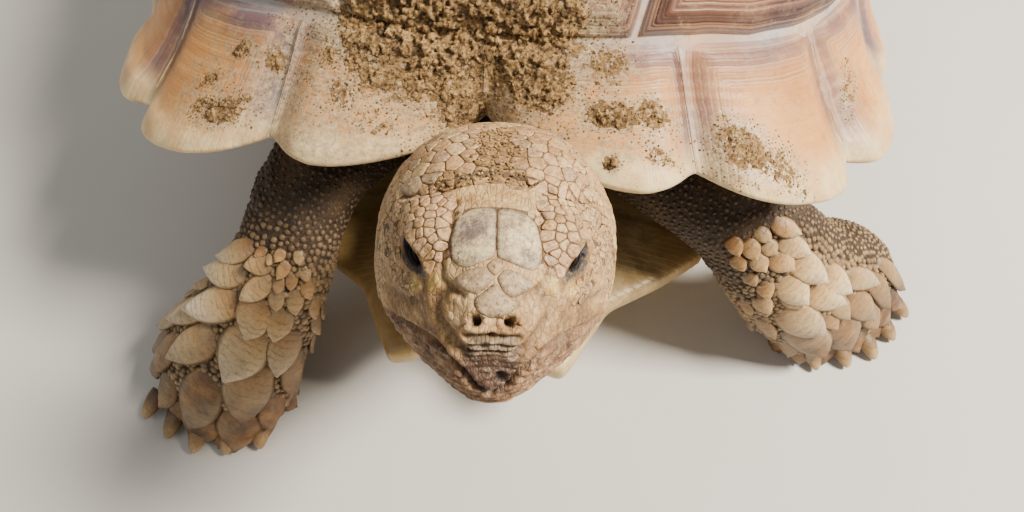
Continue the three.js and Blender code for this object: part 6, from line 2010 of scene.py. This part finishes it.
def attach(piece, slot, *nodes):
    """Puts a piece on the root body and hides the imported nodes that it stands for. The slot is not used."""
    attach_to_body(piece, "root")
    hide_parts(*nodes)


def dress_shell(upper_horn, rim_horn):
    """The wall and every scute of the shell. Gives back their surface to lay soil on."""
    core, upper, marginal = Mesh("inset"), Mesh("inset"), Mesh("inset", "edge")
    shell_core(core)
    for i, outline in enumerate(upper_scutes()):
        upper_plate(upper, outline, i)
    for i, (start, end) in enumerate(zip(MARGINAL_SEAMS[:11], MARGINAL_SEAMS[1:])):
        marginal_plate(marginal, start, end, 1, first=i == 0)
        marginal_plate(marginal, -end, -start, -1, first=i == 0)
    marginal_plate(marginal, MARGINAL_SEAMS[11], 2 - MARGINAL_SEAMS[11], 1)
    tops, faces = [], []
    for name, mesh, material in (("shell_wall", core, rim_horn), ("upper_scutes", upper, upper_horn),
                                 ("marginal_scutes", marginal, rim_horn)):
        points = np.concatenate(mesh.points)
        mesh.values["mud"] = [soil_mask(points)]
        mesh.values["dust"] = [np.maximum(soil_mask(points, 1.6), soil_mask(points, 1.0, DUST_PATCHES))]
        if "edge" in mesh.values:
            scraped = soil_mask(points, 1.0, CHIPS)
            mesh.values["edge"] = [np.maximum(np.concatenate(mesh.values["edge"]), scraped)]
        piece = mesh.build(name, material)
        attach(piece, "shell", "carapace")
        base = len(tops)
        tops.extend(mesh_points(piece.data) * 1000 - SHIFT)
        faces.extend([[i + base for i in f.vertices] for f in piece.data.polygons])
    return BVHTree.FromPolygons([Vector(p) for p in tops], faces)


FLESH = ("torso", "neck", "head", "lower_jaw", "upper_arm_left", "upper_arm_right", "forearm_left",
         "forearm_right", "hind_leg_left", "hind_leg_right", "tail")
LIMB_NODES = {part: part.replace("foreleg", "forearm") for part in LIMBS}
# Painted shade: the skin is darker where plates grow over it, in the gaps between them.
HEAD["masks"]["under"] = (head_spacing(HEAD["points"], HEAD["masks"])[0] > 0).astype(float)
set_stage()
shell_ground = dress_shell(horn_material("growth_ringed_horn", UPPER_HORN),
                           horn_material("pale_rim_horn", RIM_HORN))
attach(make_skin(skin_material()), "skin", *FLESH)

carrier = from_head(HEAD["carrier"]).reshape(-1, 3)
carrier_faces = grid_faces(*HEAD["carrier"].shape[:2]).tolist()
head_ground = BVHTree.FromPolygons([Vector(p) for p in carrier], carrier_faces)
attach(dress_head(scale_material(), head_ground), "skin", "head")
leg_coats, claws = dress_legs(shield_material(), claw_material())
for coat in leg_coats:
    attach(coat, "skin", LIMB_NODES[coat.name.rsplit("_", 1)[0]])
attach(claws, "skin", *[LIMB_NODES[part] for part in LIMBS if "leg" in part])
attach(eyeballs(eye_material()), "eye", "eye_left", "eye_right")
for coat in dress_limbs(tubercle_material()):
    attach(coat, "skin", LIMB_NODES[coat.name.removesuffix("_small_scales")])
attach(dress_plastron(plastron_material()), "plastron", "plastron")

earth, grower = soil_material(), tubercle_tree()
sheet, fringe = soil_sheet(earth, shell_ground)
# Spacing in mm of the crumbs, and a seed each.
crumbs = scatter_crumbs("soil_crumbs", sheet, 1.5, grower, earth, 4)
loose = scatter_crumbs("loose_crumbs", fringe, 1.25, grower, earth, 6)
bpy.data.objects.remove(fringe)
# A surface a little over the head plates, for the crumbs that lie on them.
head_proxy = Mesh("density", "size")
head_proxy.add(from_head(HEAD["carrier"] + HEAD["normals"] * .62), carrier_faces,
               density=smooth(.2, .9, head_soil(HEAD["carrier"])).ravel(), size=.52)
head_proxy = head_proxy.build("head_proxy", earth)
head_crumbs = scatter_crumbs("head_crumbs", head_proxy, .85, grower, earth, 9)
bpy.data.objects.remove(head_proxy)
for piece in (sheet, crumbs, loose):
    attach(piece, "shell", "carapace")
attach(head_crumbs, "skin", "head")
